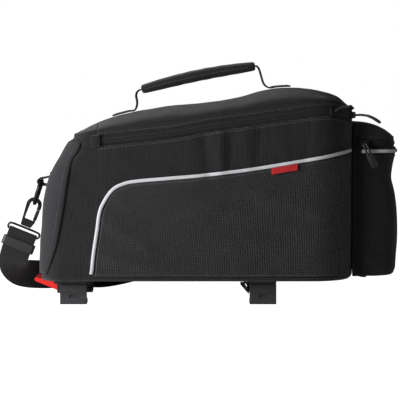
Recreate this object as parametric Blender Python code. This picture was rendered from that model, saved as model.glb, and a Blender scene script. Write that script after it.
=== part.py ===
# Bicycle trunk bag: a soft wedge-shaped bag with a zipped lid, a rear pocket, a carrying
# handle and a shoulder strap, on an adapter that clips to a luggage rack.
# Metres, +Z up, +X to the rear. The origin is the centre of the adapter's flat seat.

import math

import bmesh
import bpy
from mathutils import Matrix, Vector

# Driving dimensions
BODY_LENGTH = 0.3130
BODY_WIDTH = 0.170
BODY_HEIGHT = 0.1921
FRONT_OVERHANG = 0.1270
FRONT_CORNER_RADIUS = 0.020
REAR_CORNER_RADIUS = 0.042
FRONT_EDGE_RADIUS = 0.003
SIDE_EDGE_RADIUS = 0.006
SIDE_BULGE = 0.0015
LID_ROUNDNESS = 2.8
LID_EDGE = 0.003
SHELL_WALL = 0.0025
PANEL_WALL = 0.0010
GAP = 0.0003
LAYER_GAP = 0.0005
FRONT_LIFT = 0.0008

ZIP_BAND = 0.010
ZIP_WALL = 0.0014
HINGE_SHARE = 0.1824

POCKET_DEPTH = 0.0452
POCKET_WIDTH = 0.114
POCKET_SQUARENESS = 5.0
POCKET_WALL = 0.0022
POCKET_SEAM = 0.0018
POCKET_ZIP_GAP = 0.0007

PIPING_WIDTH = 0.0034
PIPING_HEIGHT = 0.0022
LABEL_LENGTH = 0.026
LABEL_DROP = 0.0064
LABEL_WALL = 0.0008
LABEL_ALONG = 0.7347
ZIP_TAB_LENGTH = 0.0065
TAB_LAP = 0.0008

HANDLE_WEB_WIDTH = 0.025
WEB_THICKNESS = 0.0017
GRIP_WIDTH = 0.030
GRIP_THICKNESS = 0.012
GRIP_END_THICKNESS = 0.0083
GRIP_BOW = 0.0025
CREST_SAG = 0.0003

STRAP_WIDTH = 0.030
STRAP_THICKNESS = 0.0016

RING_WIRE = 0.0040
RING_LENGTH = 0.0247
RING_HALF_WIDTH = 0.0165
RING_TILT = math.radians(17.4)
HOOK_TILT = math.radians(22)
HOOK_THICKNESS = 0.0050
HOOK_BAR = 0.0038
HOOK_HALF_WIDTH = 0.0080
HOOK_WINDOW = 0.0202
HOOK_BASE = 0.0077
EYE_BAR = 0.0028
EYE_OPENING = 0.0037
EYE_CLEARANCE = 0.0007
EYE_CORNER = 0.0026
RING_CORNER = 0.0030
RING_SHOULDER = 0.22
HOOK_NOSE = 0.0035
HOOK_FOOT = 0.0055
HOOK_BEVEL = 0.0006
GATE_GAP = 0.0005
GATE_SHARE = 0.8
RING_PLAY = 0.0009
LOOP_WIDTH = 0.025
FRONT_LOOP_REACH = 0.0115
REAR_LOOP_REACH = 0.0063
LOOP_SEWN = 0.006
LOOP_WRAP = math.radians(210)
FRONT_LOOP_UP = 0.500
REAR_LOOP_UP = 0.760
REAR_RING_TURN = 55
REAR_RING_TILT = math.radians(19)
STRAP_TAIL = 0.021
SLIDER_WALL = 0.0016
SLIDER_PLAY = 0.0012
SLIDER_LENGTH = 0.009
SLIDER_SHARE = 0.58
FOLD_SHARE = 0.38

ZIP_SLIDER_LENGTH = 0.010
ZIP_SLIDER_HEIGHT = 0.0065
ZIP_SLIDER_THICKNESS = 0.0035
ZIP_SLIDER_BEVEL = 0.0008
PULL_LENGTH = 0.026
PULL_CORD = 0.0026
POCKET_PULL_TURN = -88
POCKET_PULL_LEAN = math.radians(25)

PLATE_THICKNESS = 0.0038
PLATE_HALF_WIDTH = 0.039
SEAT_DROP = 0.0205
FOOT_LENGTH = 0.0268
FOOT_SPACING = 0.1907
FOOT_HALF_TRACK = 0.065
FOOT_WALL = 0.006
JAW_DEPTH = 0.013
JAW_HEIGHT = 0.0115
FOOT_LIP = 0.0045
RAIL_FORWARD = 0.006

LEVER_WIDTH = 0.040
LEVER_HUB_RADIUS = 0.0050
LEVER_HUB_WRAP = math.radians(200)
LEVER_PIN_RADIUS = 0.0020
LEVER_REACH = 0.0300
LEVER_TIP_RISE = 0.0088
LEVER_TIP_THICKNESS = 0.0040
EAR_WALL = 0.0038
LEVER_INSET = 0.0068
LEVER_CLEARANCE = 0.0035
LEVER_BEVEL = 0.0005
PIN_CLEARANCE = 0.0003
PARTING_RISE = 0.0012
GROOVE = 0.0008
SLOT_LENGTH = 0.008
SLOT_HEIGHT = 0.003
SLOT_DEPTH = 0.0016
SLOT_DROP = 0.0045
FOOT_BEVEL = 0.0005
RAIL_BEVEL = 0.0006
BRACE_REACH = 0.009
BRACE_ARM = 0.0022
BRACE_DROP = 0.010
BRACE_WIDTH = 0.006
BRACE_LAP = 0.008

# Shapes as shares of the sizes above
# Closed lid's top line: along is a share of BODY_LENGTH, up of BODY_HEIGHT.
CREST = (
    (0.1060, 0.744),
    (0.1176, 0.768),
    (0.1935, 0.827),
    (0.2937, 0.872),
    (0.3948, 0.903),
    (0.5081, 0.920),
    (0.6345, 0.951),
    (0.7306, 0.990),
    (0.8024, 1.000),
    (0.8651, 0.995),
    (0.9117, 0.980),
    (0.9552, 0.956),
    (0.9815, 0.918),
    (1.000, 0.887),
)
# Middle of the lid's zip: along, up.
ZIP_LINE = (
    (0.0752, 0.716),
    (0.1824, 0.731),
    (0.3321, 0.756),
    (0.4342, 0.775),
    (0.5374, 0.806),
    (0.6983, 0.842),
    (0.7893, 0.864),
    (0.9127, 0.885),
    (1.000, 0.858),
)
# Front wall from the base to the lid: up, along.
FRONT_PROFILE = (
    (0.000, 0.0000),
    (0.066, 0.0000),
    (0.184, 0.0030),
    (0.319, 0.0111),
    (0.426, 0.0182),
    (0.539, 0.0344),
    (0.649, 0.0688),
    (0.722, 0.0955),
    (0.744, 0.1060),
)
# Sewn edge of the front panel on each side: up, along.
FRONT_SEAM = (
    (0.042, 0.0215),
    (0.198, 0.0539),
    (0.377, 0.0752),
    (0.540, 0.0914),
    (0.630, 0.1035),
    (0.690, 0.1278),
    (0.722, 0.1308),
)
# Reflective piping's front leg: up, along. It ends where the bend turns to the rear.
PIPING_RISE = (
    (0.042, 0.1615),
    (0.059, 0.1642),
    (0.136, 0.1692),
    (0.268, 0.1814),
    (0.373, 0.1915),
    (0.425, 0.2067),
    (0.465, 0.2228),
    (0.485, 0.2350),
)
# Its upper leg from that bend to the rear: along, up.
PIPING_RUN = (
    (0.2350, 0.485),
    (0.2471, 0.498),
    (0.2866, 0.519),
    (0.3999, 0.537),
    (0.5081, 0.552),
    (0.6558, 0.581),
    (0.7964, 0.618),
    (0.9097, 0.650),
    (0.9850, 0.678),
)
# Rear pocket's outer wall from its foot to its zip: out is a share of POCKET_DEPTH,
# up of BODY_HEIGHT and wide of POCKET_WIDTH.
POCKET_PROFILE = (
    (0.030, 0.023, 0.900),
    (0.430, 0.018, 0.960),
    (0.850, 0.016, 0.985),
    (0.955, 0.044, 1.000),
    (0.975, 0.090, 1.000),
    (1.000, 0.233, 1.000),
    (0.961, 0.437, 1.000),
    (0.901, 0.533, 1.000),
    (0.940, 0.640, 1.000),
    (0.945, 0.690, 1.000),
)
# The same wall above that zip.
POCKET_DOME = (
    (0.915, 0.736, 0.995),
    (0.905, 0.746, 0.985),
    (0.830, 0.764, 0.950),
    (0.678, 0.788, 0.900),
    (0.459, 0.810, 0.850),
    (0.223, 0.817, 0.820),
    (0.030, 0.817, 0.810),
)
# Handle webbing from the lid up to the grip, and down from the grip: along, up.
HANDLE_FRONT = (
    (0.2926, 0.881),
    (0.2997, 0.903),
    (0.3007, 0.930),
    (0.2977, 0.958),
    (0.3007, 0.978),
    (0.3088, 0.989),
    (0.3159, 0.992),
)
HANDLE_REAR = (
    (0.6891, 1.117),
    (0.6942, 1.117),
    (0.7013, 1.104),
    (0.7074, 1.074),
    (0.7144, 1.035),
    (0.7215, 1.015),
)
# Where its webbing is sewn to the lid: first and last along.
HANDLE_FRONT_SEWN = (0.2208, 0.2815)
HANDLE_REAR_SEWN = (0.7357, 0.8045)
# Shoulder strap behind the bag. The centre's along, out and up are shares of
# BODY_LENGTH, half BODY_WIDTH and BODY_HEIGHT above the floor; the last three columns
# point to its upper edge.
STRAP_ROUTE = (
    (-0.1120, 0.07, 0.193, 0.92, 0.10, -0.28),
    (-0.1069, 0.20, 0.148, 0.80, 0.35, 0.25),
    (-0.0847, 0.44, 0.112, 0.50, 0.30, 0.75),
    (-0.0331, 0.76, 0.090, 0.12, 0.12, 0.98),
    (0.0428, 1.02, 0.080, 0.00, 0.00, 1.00),
    (0.1085, 1.10, 0.080, 0.00, 0.00, 1.00),
    (0.1753, 1.10, 0.080, 0.00, 0.00, 1.00),
    (0.2623, 1.10, 0.108, -0.08, 0.00, 1.00),
    (0.3614, 1.10, 0.161, -0.20, 0.00, 0.97),
    (0.5081, 1.10, 0.260, -0.28, 0.00, 0.95),
    (0.6679, 1.11, 0.350, -0.25, 0.05, 0.96),
    (0.8419, 1.16, 0.440, -0.10, 0.35, 0.90),
)
# Pulls of the main zip: name, turn from the rear round the near corner, and the
# pull's lean at its start and end, in degrees.
MAIN_PULLS = (
    ("upper", 62, (25, 12)),
    ("lower", 22, (10, -16)),
)
POCKET_PULL_DROOP = (-68, -84)
# Outline of a pull: share of PULL_LENGTH, half the gap between its sides.
PULL_SHAPE = (
    (0.00, 0.058),
    (0.20, 0.060),
    (0.46, 0.062),
    (0.52, 0.095),
    (0.75, 0.112),
    (0.95, 0.108),
    (1.00, 0.062),
)

FRONT_X = -FRONT_OVERHANG
REAR_X = FRONT_X + BODY_LENGTH
BASE_Z = PLATE_THICKNESS + GAP
FLOOR_Z = -SEAT_DROP
HALF_WIDTH = BODY_WIDTH / 2
HINGE_X = FRONT_X + HINGE_SHARE * BODY_LENGTH


def smooth(table, key):
    """Value at key on a smooth curve through (key, value) rows, level past its ends."""
    keys = [row[0] for row in table]
    if key <= keys[0]:
        return table[0][1]
    if key >= keys[-1]:
        return table[-1][1]
    low = max(n for n in range(len(keys) - 1) if keys[n] <= key)
    start, end = table[low], table[low + 1]
    before = table[max(low - 1, 0)]
    after = table[min(low + 2, len(table) - 1)]
    step = end[0] - start[0]
    slope_in = (end[1] - before[1]) / (end[0] - before[0]) * step
    slope_out = (after[1] - start[1]) / (after[0] - start[0]) * step
    t = (key - start[0]) / step
    return (
        (2 * t**3 - 3 * t**2 + 1) * start[1]
        + (t**3 - 2 * t**2 + t) * slope_in
        + (3 * t**2 - 2 * t**3) * end[1]
        + (t**3 - t**2) * slope_out
    )


def blend_rows(rows, count):
    """Points on a smooth curve through rows of numbers, count steps to each row gap."""
    columns = [[(n, row[c]) for n, row in enumerate(rows)] for c in range(len(rows[0]))]
    steps = (len(rows) - 1) * count
    return [[smooth(column, n / count) for column in columns] for n in range(steps + 1)]


def x_at(along):
    return FRONT_X + along * BODY_LENGTH


def z_at(up):
    return BASE_Z + up * BODY_HEIGHT


def along_of(x):
    return (x - FRONT_X) / BODY_LENGTH


def up_of(z):
    return (z - BASE_Z) / BODY_HEIGHT


def zip_z(x):
    return z_at(smooth(ZIP_LINE, along_of(x)))


def lid_seam_z(x):
    return zip_z(x) + ZIP_BAND / 2 + GAP


def crest_z(x):
    return max(z_at(smooth(CREST, along_of(x))), lid_seam_z(x) + LID_EDGE)


def front_x(z):
    return x_at(smooth(FRONT_PROFILE, up_of(z)))


HOOD_FRONT_X = x_at(FRONT_PROFILE[-1][1])


def corner_weight(x, front):
    """1 on the flat of a side, falling to 0 where a corner turns to the front or rear."""
    into_front = (front + FRONT_CORNER_RADIUS - x) / FRONT_CORNER_RADIUS
    into_rear = (x - REAR_X + REAR_CORNER_RADIUS) / REAR_CORNER_RADIUS
    turned = min(max(into_front, into_rear, 0.0), 1.0)
    return math.sqrt(1.0 - turned**2)


def side_y(x, z):
    """Half-width of the bag's wall at a place along its side."""
    front = front_x(z)
    weight = corner_weight(x, front)
    radius = FRONT_CORNER_RADIUS if x < front + FRONT_CORNER_RADIUS else REAR_CORNER_RADIUS
    start = BASE_Z + SIDE_EDGE_RADIUS
    rise = min(max((z - start) / (zip_z(x) - start), 0.0), 1.0)
    return HALF_WIDTH - radius * (1.0 - weight) + SIDE_BULGE * weight * math.sin(math.pi * rise)


def side_point(x, z, side, lift):
    """Point held lift clear of the side wall. side is -1 near and +1 far."""
    tiny = 0.0002
    slope_x = (side_y(x + tiny, z) - side_y(x - tiny, z)) / (2 * tiny)
    slope_z = (side_y(x, z + tiny) - side_y(x, z - tiny)) / (2 * tiny)
    outward = Vector((-slope_x, 1.0, -slope_z)).normalized()
    point = Vector((x, side_y(x, z), z)) + outward * lift
    return Vector((point.x, side * point.y, point.z))


def side_outward(x, z, side):
    return (side_point(x, z, side, 1.0) - side_point(x, z, side, 0.0)).normalized()


def rear_wall_x(y):
    """The rear wall's surface at a distance from the centre plane."""
    into_corner = max(abs(y) - (HALF_WIDTH - REAR_CORNER_RADIUS), 0.0)
    return REAR_X - REAR_CORNER_RADIUS + math.sqrt(REAR_CORNER_RADIUS**2 - into_corner**2)


# Materials
def material(name, color, roughness, metallic=0.0):
    made = bpy.data.materials.new(name)
    made.use_nodes = True
    shader = made.node_tree.nodes["Principled BSDF"]
    shader.inputs["Base Color"].default_value = (*color, 1.0)
    shader.inputs["Roughness"].default_value = roughness
    shader.inputs["Metallic"].default_value = metallic
    return made


def make_materials():
    return {
        "body_cloth": material("body_cloth", (0.012, 0.012, 0.014), 0.85),
        "ribbed_cloth": material("ribbed_cloth", (0.018, 0.018, 0.020), 0.80),
        "front_cloth": material("front_cloth", (0.030, 0.029, 0.032), 0.85),
        "webbing": material("webbing", (0.014, 0.014, 0.016), 0.75),
        "zip_tape": material("zip_tape", (0.010, 0.010, 0.011), 0.70),
        "reflective": material("reflective", (0.55, 0.56, 0.58), 0.45),
        "red_label": material("red_label", (0.62, 0.03, 0.03), 0.70),
        "red_plastic": material("red_plastic", (0.60, 0.02, 0.015), 0.35),
        "black_plastic": material("black_plastic", (0.020, 0.020, 0.022), 0.40),
        "grey_plastic": material("grey_plastic", (0.050, 0.050, 0.054), 0.45),
        "black_metal": material("black_metal", (0.030, 0.030, 0.032), 0.35, 0.9),
    }


# Making objects
def finish_object(name, mesh, surface):
    mesh.shade_smooth()
    mesh.set_sharp_from_angle(angle=math.radians(40))
    mesh.materials.append(surface)
    made = bpy.data.objects.new(name, mesh)
    bpy.context.collection.objects.link(made)
    return made


def closed_mesh(name, points, faces, surface):
    """Object from a closed set of faces, turned to face outward."""
    mesh = bpy.data.meshes.new(name)
    mesh.from_pydata([tuple(point) for point in points], [], faces)
    work = bmesh.new()
    work.from_mesh(mesh)
    bmesh.ops.recalc_face_normals(work, faces=work.faces)
    work.to_mesh(mesh)
    work.free()
    return finish_object(name, mesh, surface)


def cloth(name, cells, place, wall, surface, outward=False):
    """Cloth wall from quads of grid keys. It grows inward, or outward as an outer layer."""
    keys = list(dict.fromkeys(corner for cell in cells for corner in cell))
    number = {key: n for n, key in enumerate(keys)}
    mesh = bpy.data.meshes.new(name)
    mesh.from_pydata(
        [tuple(place(key)) for key in keys],
        [],
        [[number[corner] for corner in cell] for cell in cells],
    )
    made = finish_object(name, mesh, surface)
    thicken = made.modifiers.new("Cloth thickness", "SOLIDIFY")
    thicken.thickness = wall
    thicken.offset = 1.0 if outward else -1.0
    thicken.use_even_offset = not outward
    return made


def patch(name, rows, wall, surface):
    """Outer layer of cloth over a grid of points, rows upward and columns anticlockwise."""
    cells = [
        ((r, c), (r, c + 1), (r + 1, c + 1), (r + 1, c))
        for r in range(len(rows) - 1)
        for c in range(len(rows[0]) - 1)
    ]
    return cloth(name, cells, lambda key: rows[key[0]][key[1]], wall, surface, outward=True)


RECTANGLE = ((-1, -1), (1, -1), (1, 1), (-1, 1))


def round_section(sides):
    step = 2 * math.pi / sides
    return tuple((math.cos(n * step), math.sin(n * step)) for n in range(sides))


def sweep(name, stations, section, surface, closed=False):
    """Solid along stations of (centre, width direction, half-width, half-thickness)."""
    count = len(stations)
    points = []
    for n, (centre, across, half_width, half_thickness) in enumerate(stations):
        after = stations[(n + 1) % count if closed else min(n + 1, count - 1)][0]
        before = stations[n - 1 if closed or n else 0][0]
        travel = (after - before).normalized()
        across = (across - travel * across.dot(travel)).normalized()
        normal = travel.cross(across).normalized()
        points += [centre + across * (a * half_width) + normal * (b * half_thickness) for a, b in section]
    size = len(section)
    spans = count if closed else count - 1
    faces = []
    for n in range(spans):
        here, there = n * size, (n + 1) % count * size
        for m in range(size):
            nxt = (m + 1) % size
            faces.append((here + m, here + nxt, there + nxt, there + m))
    if not closed:
        faces.append(tuple(range(size)))
        faces.append(tuple(range((count - 1) * size, count * size)))
    return closed_mesh(name, points, faces, surface)


def upright(x, y, z):
    """Frame at a point for an outline in the plane of +X and +Z."""
    return Matrix(((1, 0, 0, x), (0, 0, -1, y), (0, 1, 0, z), (0, 0, 0, 1)))


def prism(name, outline, thickness, frame, surface, bevel=0.0):
    """Outline of (u, v) points, thickness wide, with its origin and axes at the frame."""
    count = len(outline)
    points = [(u, v, w) for w in (-thickness / 2, thickness / 2) for u, v in outline]
    faces = [tuple(range(count)), tuple(range(count, 2 * count))]
    faces += [(n, (n + 1) % count, count + (n + 1) % count, count + n) for n in range(count)]
    made = closed_mesh(name, points, faces, surface)
    made.matrix_world = frame
    if bevel:
        edge = made.modifiers.new("Soft edges", "BEVEL")
        edge.width = bevel
        edge.segments = 1
        edge.limit_method = "ANGLE"
        edge.angle_limit = math.radians(50)
    return made


def box(name, low, high, surface, bevel=0.0):
    outline = [(low[0], low[2]), (high[0], low[2]), (high[0], high[2]), (low[0], high[2])]
    middle = (low[1] + high[1]) / 2
    return prism(name, outline, high[1] - low[1], upright(0.0, middle, 0.0), surface, bevel)


def cut(target, cutter):
    cutter.hide_render = True
    cutter.display_type = "WIRE"
    trim = target.modifiers.new("Cut", "BOOLEAN")
    trim.operation = "DIFFERENCE"
    trim.object = cutter


# Main bag
LID_STEPS = 8
PANEL_ROWS = 6
FRONT_ROWS = 12
WRAP_STEPS = 8
FLAT_COLUMNS = 8
TURN_COLUMNS = 5
PIPING_RISE_STEPS = 9
BEND_STEPS = 4
BEND_STEP = 0.02
LABEL_COLUMNS = 3
POCKET_STEPS = 14
POCKET_PIPING_STEPS = 26
SEWN_STEPS = 3
GRIP_STEPS = 12
RING_STEPS = 10
LOOP_STEPS = 8
HOOK_STEPS = 8
GATE_STEPS = 6
FOLD_STEPS = 6
CORNER_STEPS = 2
STRAP_STEPS = 4
HUB_STEPS = 10
FRONT_TURNS = (0, 30, 60, 90)
REAR_TURNS = (0, 15, 30, 45, 60, 75, 90)
SIDE_STATIONS = 7
WALL_LEVELS = (0.22, 0.45, 0.66, 0.84, 1.0)


def plan_stations():
    """Cross lines of the bag from front to rear, as (kind, value)."""
    near_hinge = (("side", HINGE_X - GAP / 2), ("side", HINGE_X + GAP / 2))
    straight = REAR_X - REAR_CORNER_RADIUS - HINGE_X
    side = [("side", HINGE_X + straight * n / SIDE_STATIONS) for n in range(1, SIDE_STATIONS)]
    return (
        [("front", math.radians(turn)) for turn in FRONT_TURNS]
        + [("slide", 0.5), *near_hinge]
        + side
        + [("rear", math.radians(turn)) for turn in REAR_TURNS]
    )


STATIONS = plan_stations()
HINGE_STATION = STATIONS.index(("side", HINGE_X - GAP / 2))
LAST = len(STATIONS) - 1


def cross_line(station, front, inset):
    """X and half-width of a cross line, set in from the outline by inset."""
    kind, value = station
    if kind == "front":
        reach = FRONT_CORNER_RADIUS - inset
        turn_x = front + FRONT_CORNER_RADIUS - reach * math.cos(value)
        return turn_x, HALF_WIDTH - FRONT_CORNER_RADIUS + reach * math.sin(value)
    if kind == "rear":
        reach = REAR_CORNER_RADIUS - inset
        turn_x = REAR_X - REAR_CORNER_RADIUS + reach * math.sin(value)
        return turn_x, HALF_WIDTH - REAR_CORNER_RADIUS + reach * math.cos(value)
    if kind == "slide":
        start = front + FRONT_CORNER_RADIUS
        return start + value * (HINGE_X - start), HALF_WIDTH - inset
    return value, HALF_WIDTH - inset


def across_share(j):
    """Share of the half-width, close together near the lid's rolled edges."""
    turn = math.pi * (j / LID_STEPS - 0.5)
    return math.copysign(abs(math.sin(turn)) ** (2 / LID_ROUNDNESS), turn)


def edge_radius(station):
    kind, value = station
    turned = math.sin(value) if kind == "front" else 1.0
    return FRONT_EDGE_RADIUS + (SIDE_EDGE_RADIUS - FRONT_EDGE_RADIUS) * turned


def level_table():
    """Rows of the wall from the base to the lid's seam, as (kind, value)."""
    edge = [("edge", math.radians(turn)) for turn in (0, 45, 90)]
    wall = [("wall", share) for share in WALL_LEVELS]
    return edge + wall + [("band", -ZIP_BAND / 2), ("band", ZIP_BAND / 2), ("seam", 0.0), ("lid", 0.0)]


LEVELS = level_table()
WALL_TOP = LEVELS.index(("wall", 1.0))
BAND_LOW = WALL_TOP + 1
LID_SEAM = BAND_LOW + 2
TOP = len(LEVELS) - 1


def bag_point(key):
    """Place of a grid key (level, cross line, step across)."""
    level, i, j = key
    station = STATIONS[i]
    share = across_share(j)
    seam_x, seam_half = cross_line(station, HOOD_FRONT_X, 0.0)
    kind, value = LEVELS[level]
    radius = edge_radius(station)
    if kind == "lid":
        fall = (1.0 - min(abs(share), 1.0) ** LID_ROUNDNESS) ** (1 / LID_ROUNDNESS)
        edge = lid_seam_z(seam_x) + LID_EDGE
        return Vector((seam_x, share * seam_half, edge + (crest_z(seam_x) - edge) * fall))
    if kind == "seam":
        return Vector((seam_x, share * seam_half, lid_seam_z(seam_x)))
    if kind == "edge":
        inset = radius * (1.0 - math.sin(value))
        z = BASE_Z + radius * (1.0 - math.cos(value))
        x, half = cross_line(station, front_x(z), inset)
        return Vector((x, share * half, z))
    if kind == "band":
        z = zip_z(seam_x) + value
        x, half = cross_line(station, front_x(z), 0.0)
        return Vector((x, share * half, z))
    low = BASE_Z + radius
    z = low + value * (zip_z(seam_x) - ZIP_BAND / 2 - GAP - low)
    x, half = cross_line(station, front_x(z), 0.0)
    if i not in (0, LAST):
        half = side_y(x, z)
    return Vector((x, share * half, z))


def rim_keys():
    """Grid places round the plan outline, anticlockwise from the near front."""
    near = [(i, 0) for i in range(LAST)]
    rear = [(LAST, j) for j in range(LID_STEPS)]
    far = [(i, LID_STEPS) for i in range(LAST, 0, -1)]
    front = [(0, j) for j in range(LID_STEPS, 0, -1)]
    return near + rear + far + front


def wall_cells(low, high, belongs):
    rim = rim_keys()
    cells = []
    for level in range(low, high):
        for here, there in zip(rim, rim[1:] + rim[:1]):
            if belongs(here[0], there[0]):
                cells.append(((level, *here), (level, *there), (level + 1, *there), (level + 1, *here)))
    return cells


def flat_cells(level, first, last, upward):
    cells = []
    for i in range(first, last):
        for j in range(LID_STEPS):
            cell = ((level, i, j), (level, i + 1, j), (level, i + 1, j + 1), (level, i, j + 1))
            cells.append(cell if upward else cell[::-1])
    return cells


def build_main_bag(paint):
    def in_front(here, there):
        return max(here, there) <= HINGE_STATION

    def behind(here, there):
        return min(here, there) > HINGE_STATION

    shell = flat_cells(0, 0, LAST, upward=False)
    shell += wall_cells(0, WALL_TOP, lambda here, there: True)
    shell += wall_cells(WALL_TOP, TOP, in_front)
    shell += flat_cells(TOP, 0, HINGE_STATION, upward=True)
    cloth("body_shell", shell, bag_point, SHELL_WALL, paint["body_cloth"])
    cloth("main_zip", wall_cells(BAND_LOW, BAND_LOW + 1, behind), bag_point, ZIP_WALL, paint["zip_tape"])
    lid = wall_cells(LID_SEAM, TOP, behind) + flat_cells(TOP, HINGE_STATION + 1, LAST, upward=True)
    cloth("lid", lid, bag_point, SHELL_WALL, paint["body_cloth"])


def front_wrap_point(z, reach, lift):
    """Point on the front wall, reach along it from the middle and positive to the near side."""
    side = -1 if reach > 0 else 1
    flat = HALF_WIDTH - FRONT_CORNER_RADIUS
    turn_x = front_x(z) + FRONT_CORNER_RADIUS
    past_flat = max(abs(reach) - flat, 0.0)
    turn = min(past_flat / FRONT_CORNER_RADIUS, math.pi / 2)
    past_corner = past_flat - turn * FRONT_CORNER_RADIUS
    if past_corner > GAP / 10:
        return side_point(turn_x + past_corner, z, side, lift)
    x = turn_x - FRONT_CORNER_RADIUS * math.cos(turn)
    y = side_y(x, z) if past_flat else abs(reach)
    return Vector((x - lift * math.cos(turn), side * (y + lift * math.sin(turn)), z))


def front_seam_reach(z):
    """Length along the front wall from the middle to the front panel's sewn edge."""
    seam = x_at(smooth(FRONT_SEAM, up_of(z)))
    turn_x = front_x(z) + FRONT_CORNER_RADIUS
    turn = math.acos(min(max((turn_x - seam) / FRONT_CORNER_RADIUS, 0.0), 1.0))
    return HALF_WIDTH - FRONT_CORNER_RADIUS * (1.0 - turn) + max(seam - turn_x, 0.0)


def build_front_panel(paint):
    rows = []
    for level in range(FRONT_ROWS + 1):
        up = FRONT_SEAM[0][0] + (FRONT_SEAM[-1][0] - FRONT_SEAM[0][0]) * level / FRONT_ROWS
        end = front_seam_reach(z_at(up))
        flat = HALF_WIDTH - FRONT_CORNER_RADIUS
        near = [flat / 2, flat] + [flat + (end - flat) * (n + 1) / WRAP_STEPS for n in range(WRAP_STEPS)]
        reaches = [-reach for reach in reversed(near)] + [0.0] + near
        rows.append([front_wrap_point(z_at(up), reach, FRONT_LIFT) for reach in reaches])
    patch("front_panel", rows, PANEL_WALL, paint["front_cloth"])


def piping_rise_point(share):
    up = PIPING_RISE[0][0] + (PIPING_RISE[-1][0] - PIPING_RISE[0][0]) * share
    return Vector((x_at(smooth(PIPING_RISE, up)), z_at(up)))


def piping_run_point(share):
    along = PIPING_RUN[0][0] + (PIPING_RUN[-1][0] - PIPING_RUN[0][0]) * share
    return Vector((x_at(along), z_at(smooth(PIPING_RUN, along))))


def side_shares(first, last):
    """Shares of the way from one X to another, even on the flat and even round the rear corner."""
    turn_x = REAR_X - REAR_CORNER_RADIUS
    last_turn = math.asin((last - turn_x) / REAR_CORNER_RADIUS)
    places = [first + (turn_x - first) * n / FLAT_COLUMNS for n in range(FLAT_COLUMNS)]
    places += [
        turn_x + REAR_CORNER_RADIUS * math.sin(last_turn * n / TURN_COLUMNS) for n in range(TURN_COLUMNS + 1)
    ]
    return [(place - first) / (last - first) for place in places]


def panel_edge(share, rising):
    """Side panel's edge beside the piping, turned through the bend where its legs meet."""
    clear = PIPING_WIDTH * 0.75 + GAP
    if rising:
        turn = -math.pi / 4 * share**4
        return piping_rise_point(share) + clear * Vector((math.cos(turn), math.sin(turn)))
    turn = -math.pi / 2 + math.pi / 4 * (1 - share) ** 8
    return piping_run_point(share) + clear * Vector((math.cos(turn), math.sin(turn)))


def build_side_panel(name, side, paint):
    """Lower panel of ribbed cloth, filled between its four edges."""
    foot = BASE_Z + SIDE_EDGE_RADIUS
    corner, heel = panel_edge(0.0, True), panel_edge(1.0, False)
    bend = panel_edge(1.0, True)
    rows = []
    for level in range(PANEL_ROWS + 1):
        rise = level / PANEL_ROWS
        left = panel_edge(rise, True)
        left.y = foot + (left.y - corner.y) / (bend.y - corner.y) * (bend.y - foot)
        right = Vector((heel.x, foot + (heel.y - foot) * rise))
        row = []
        for run in side_shares(corner.x, heel.x):
            low = Vector((corner.x + (heel.x - corner.x) * run, foot))
            high = panel_edge(run, False)
            flat = (
                low * (1 - rise) + high * rise + left * (1 - run) + right * run
                - (1 - rise) * ((1 - run) * Vector((corner.x, foot)) + run * Vector((heel.x, foot)))
                - rise * ((1 - run) * bend + run * heel)
            )
            row.append(side_point(flat.x, flat.y, side, LAYER_GAP))
        rows.append(row if side < 0 else row[::-1])
    patch(name, rows, PANEL_WALL, paint["ribbed_cloth"])


def build_piping(name, side, paint):
    line = [piping_rise_point(n / PIPING_RISE_STEPS) for n in range(PIPING_RISE_STEPS)]
    line += [piping_run_point(n * BEND_STEP) for n in range(BEND_STEPS)]
    bend, end = piping_run_point(BEND_STEPS * BEND_STEP), piping_run_point(1.0)
    line += [piping_run_point((BEND_STEPS * BEND_STEP) + share * (1 - BEND_STEPS * BEND_STEP))
             for share in side_shares(bend.x, end.x)]
    stations = []
    for place in line:
        centre = side_point(place.x, place.y, side, LAYER_GAP + PIPING_HEIGHT / 2)
        outward = side_outward(place.x, place.y, side)
        stations.append((centre, outward, PIPING_HEIGHT / 2, PIPING_WIDTH / 2))
    sweep(name, stations, round_section(6), paint["reflective"])


def build_label(paint):
    """Bare woven tab that hangs from the near piping over the side panel."""
    start = x_at(LABEL_ALONG)
    lift = LAYER_GAP * 2 + PANEL_WALL
    rows = []
    for drop in (LABEL_DROP, LABEL_DROP / 2, 0.0):
        row = []
        for n in range(LABEL_COLUMNS + 1):
            x = start + LABEL_LENGTH * n / LABEL_COLUMNS
            top = z_at(smooth(PIPING_RUN, along_of(x))) - PIPING_WIDTH / 2 - GAP
            row.append(side_point(x, top - drop, -1, lift))
        rows.append(row)
    patch("side_label", rows, LABEL_WALL, paint["red_label"])


def build_zip_end(name, side, paint):
    """Cloth tab over the end of the main zip."""
    rows = []
    for height in (-ZIP_BAND / 2 - TAB_LAP, 0.0, ZIP_BAND / 2 + TAB_LAP):
        row = []
        for reach in (-ZIP_TAB_LENGTH, -ZIP_TAB_LENGTH / 2, TAB_LAP):
            x = HINGE_X + reach
            row.append(side_point(x, zip_z(x) + height, side, LAYER_GAP))
        rows.append(row if side < 0 else row[::-1])
    patch(name, rows, PANEL_WALL, paint["body_cloth"])


def build_panels(paint):
    build_front_panel(paint)
    for side, word in ((-1, "near"), (1, "far")):
        build_side_panel("side_panel_" + word, side, paint)
        build_piping("piping_" + word, side, paint)
        build_zip_end("zip_end_" + word, side, paint)
    build_label(paint)


# Rear pocket
def pocket_point(profile, turn):
    """Point of the pocket's wall for a profile row, turned from the near end to the far end."""
    out, up, wide = profile
    power = 2 / POCKET_SQUARENESS
    y = wide * POCKET_WIDTH / 2 * math.copysign(abs(math.sin(turn)) ** power, turn)
    bow = max(math.cos(turn), 0.0) ** power
    return Vector((rear_wall_x(y) + POCKET_SEAM + out * POCKET_DEPTH * bow, y, z_at(up)))


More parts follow.
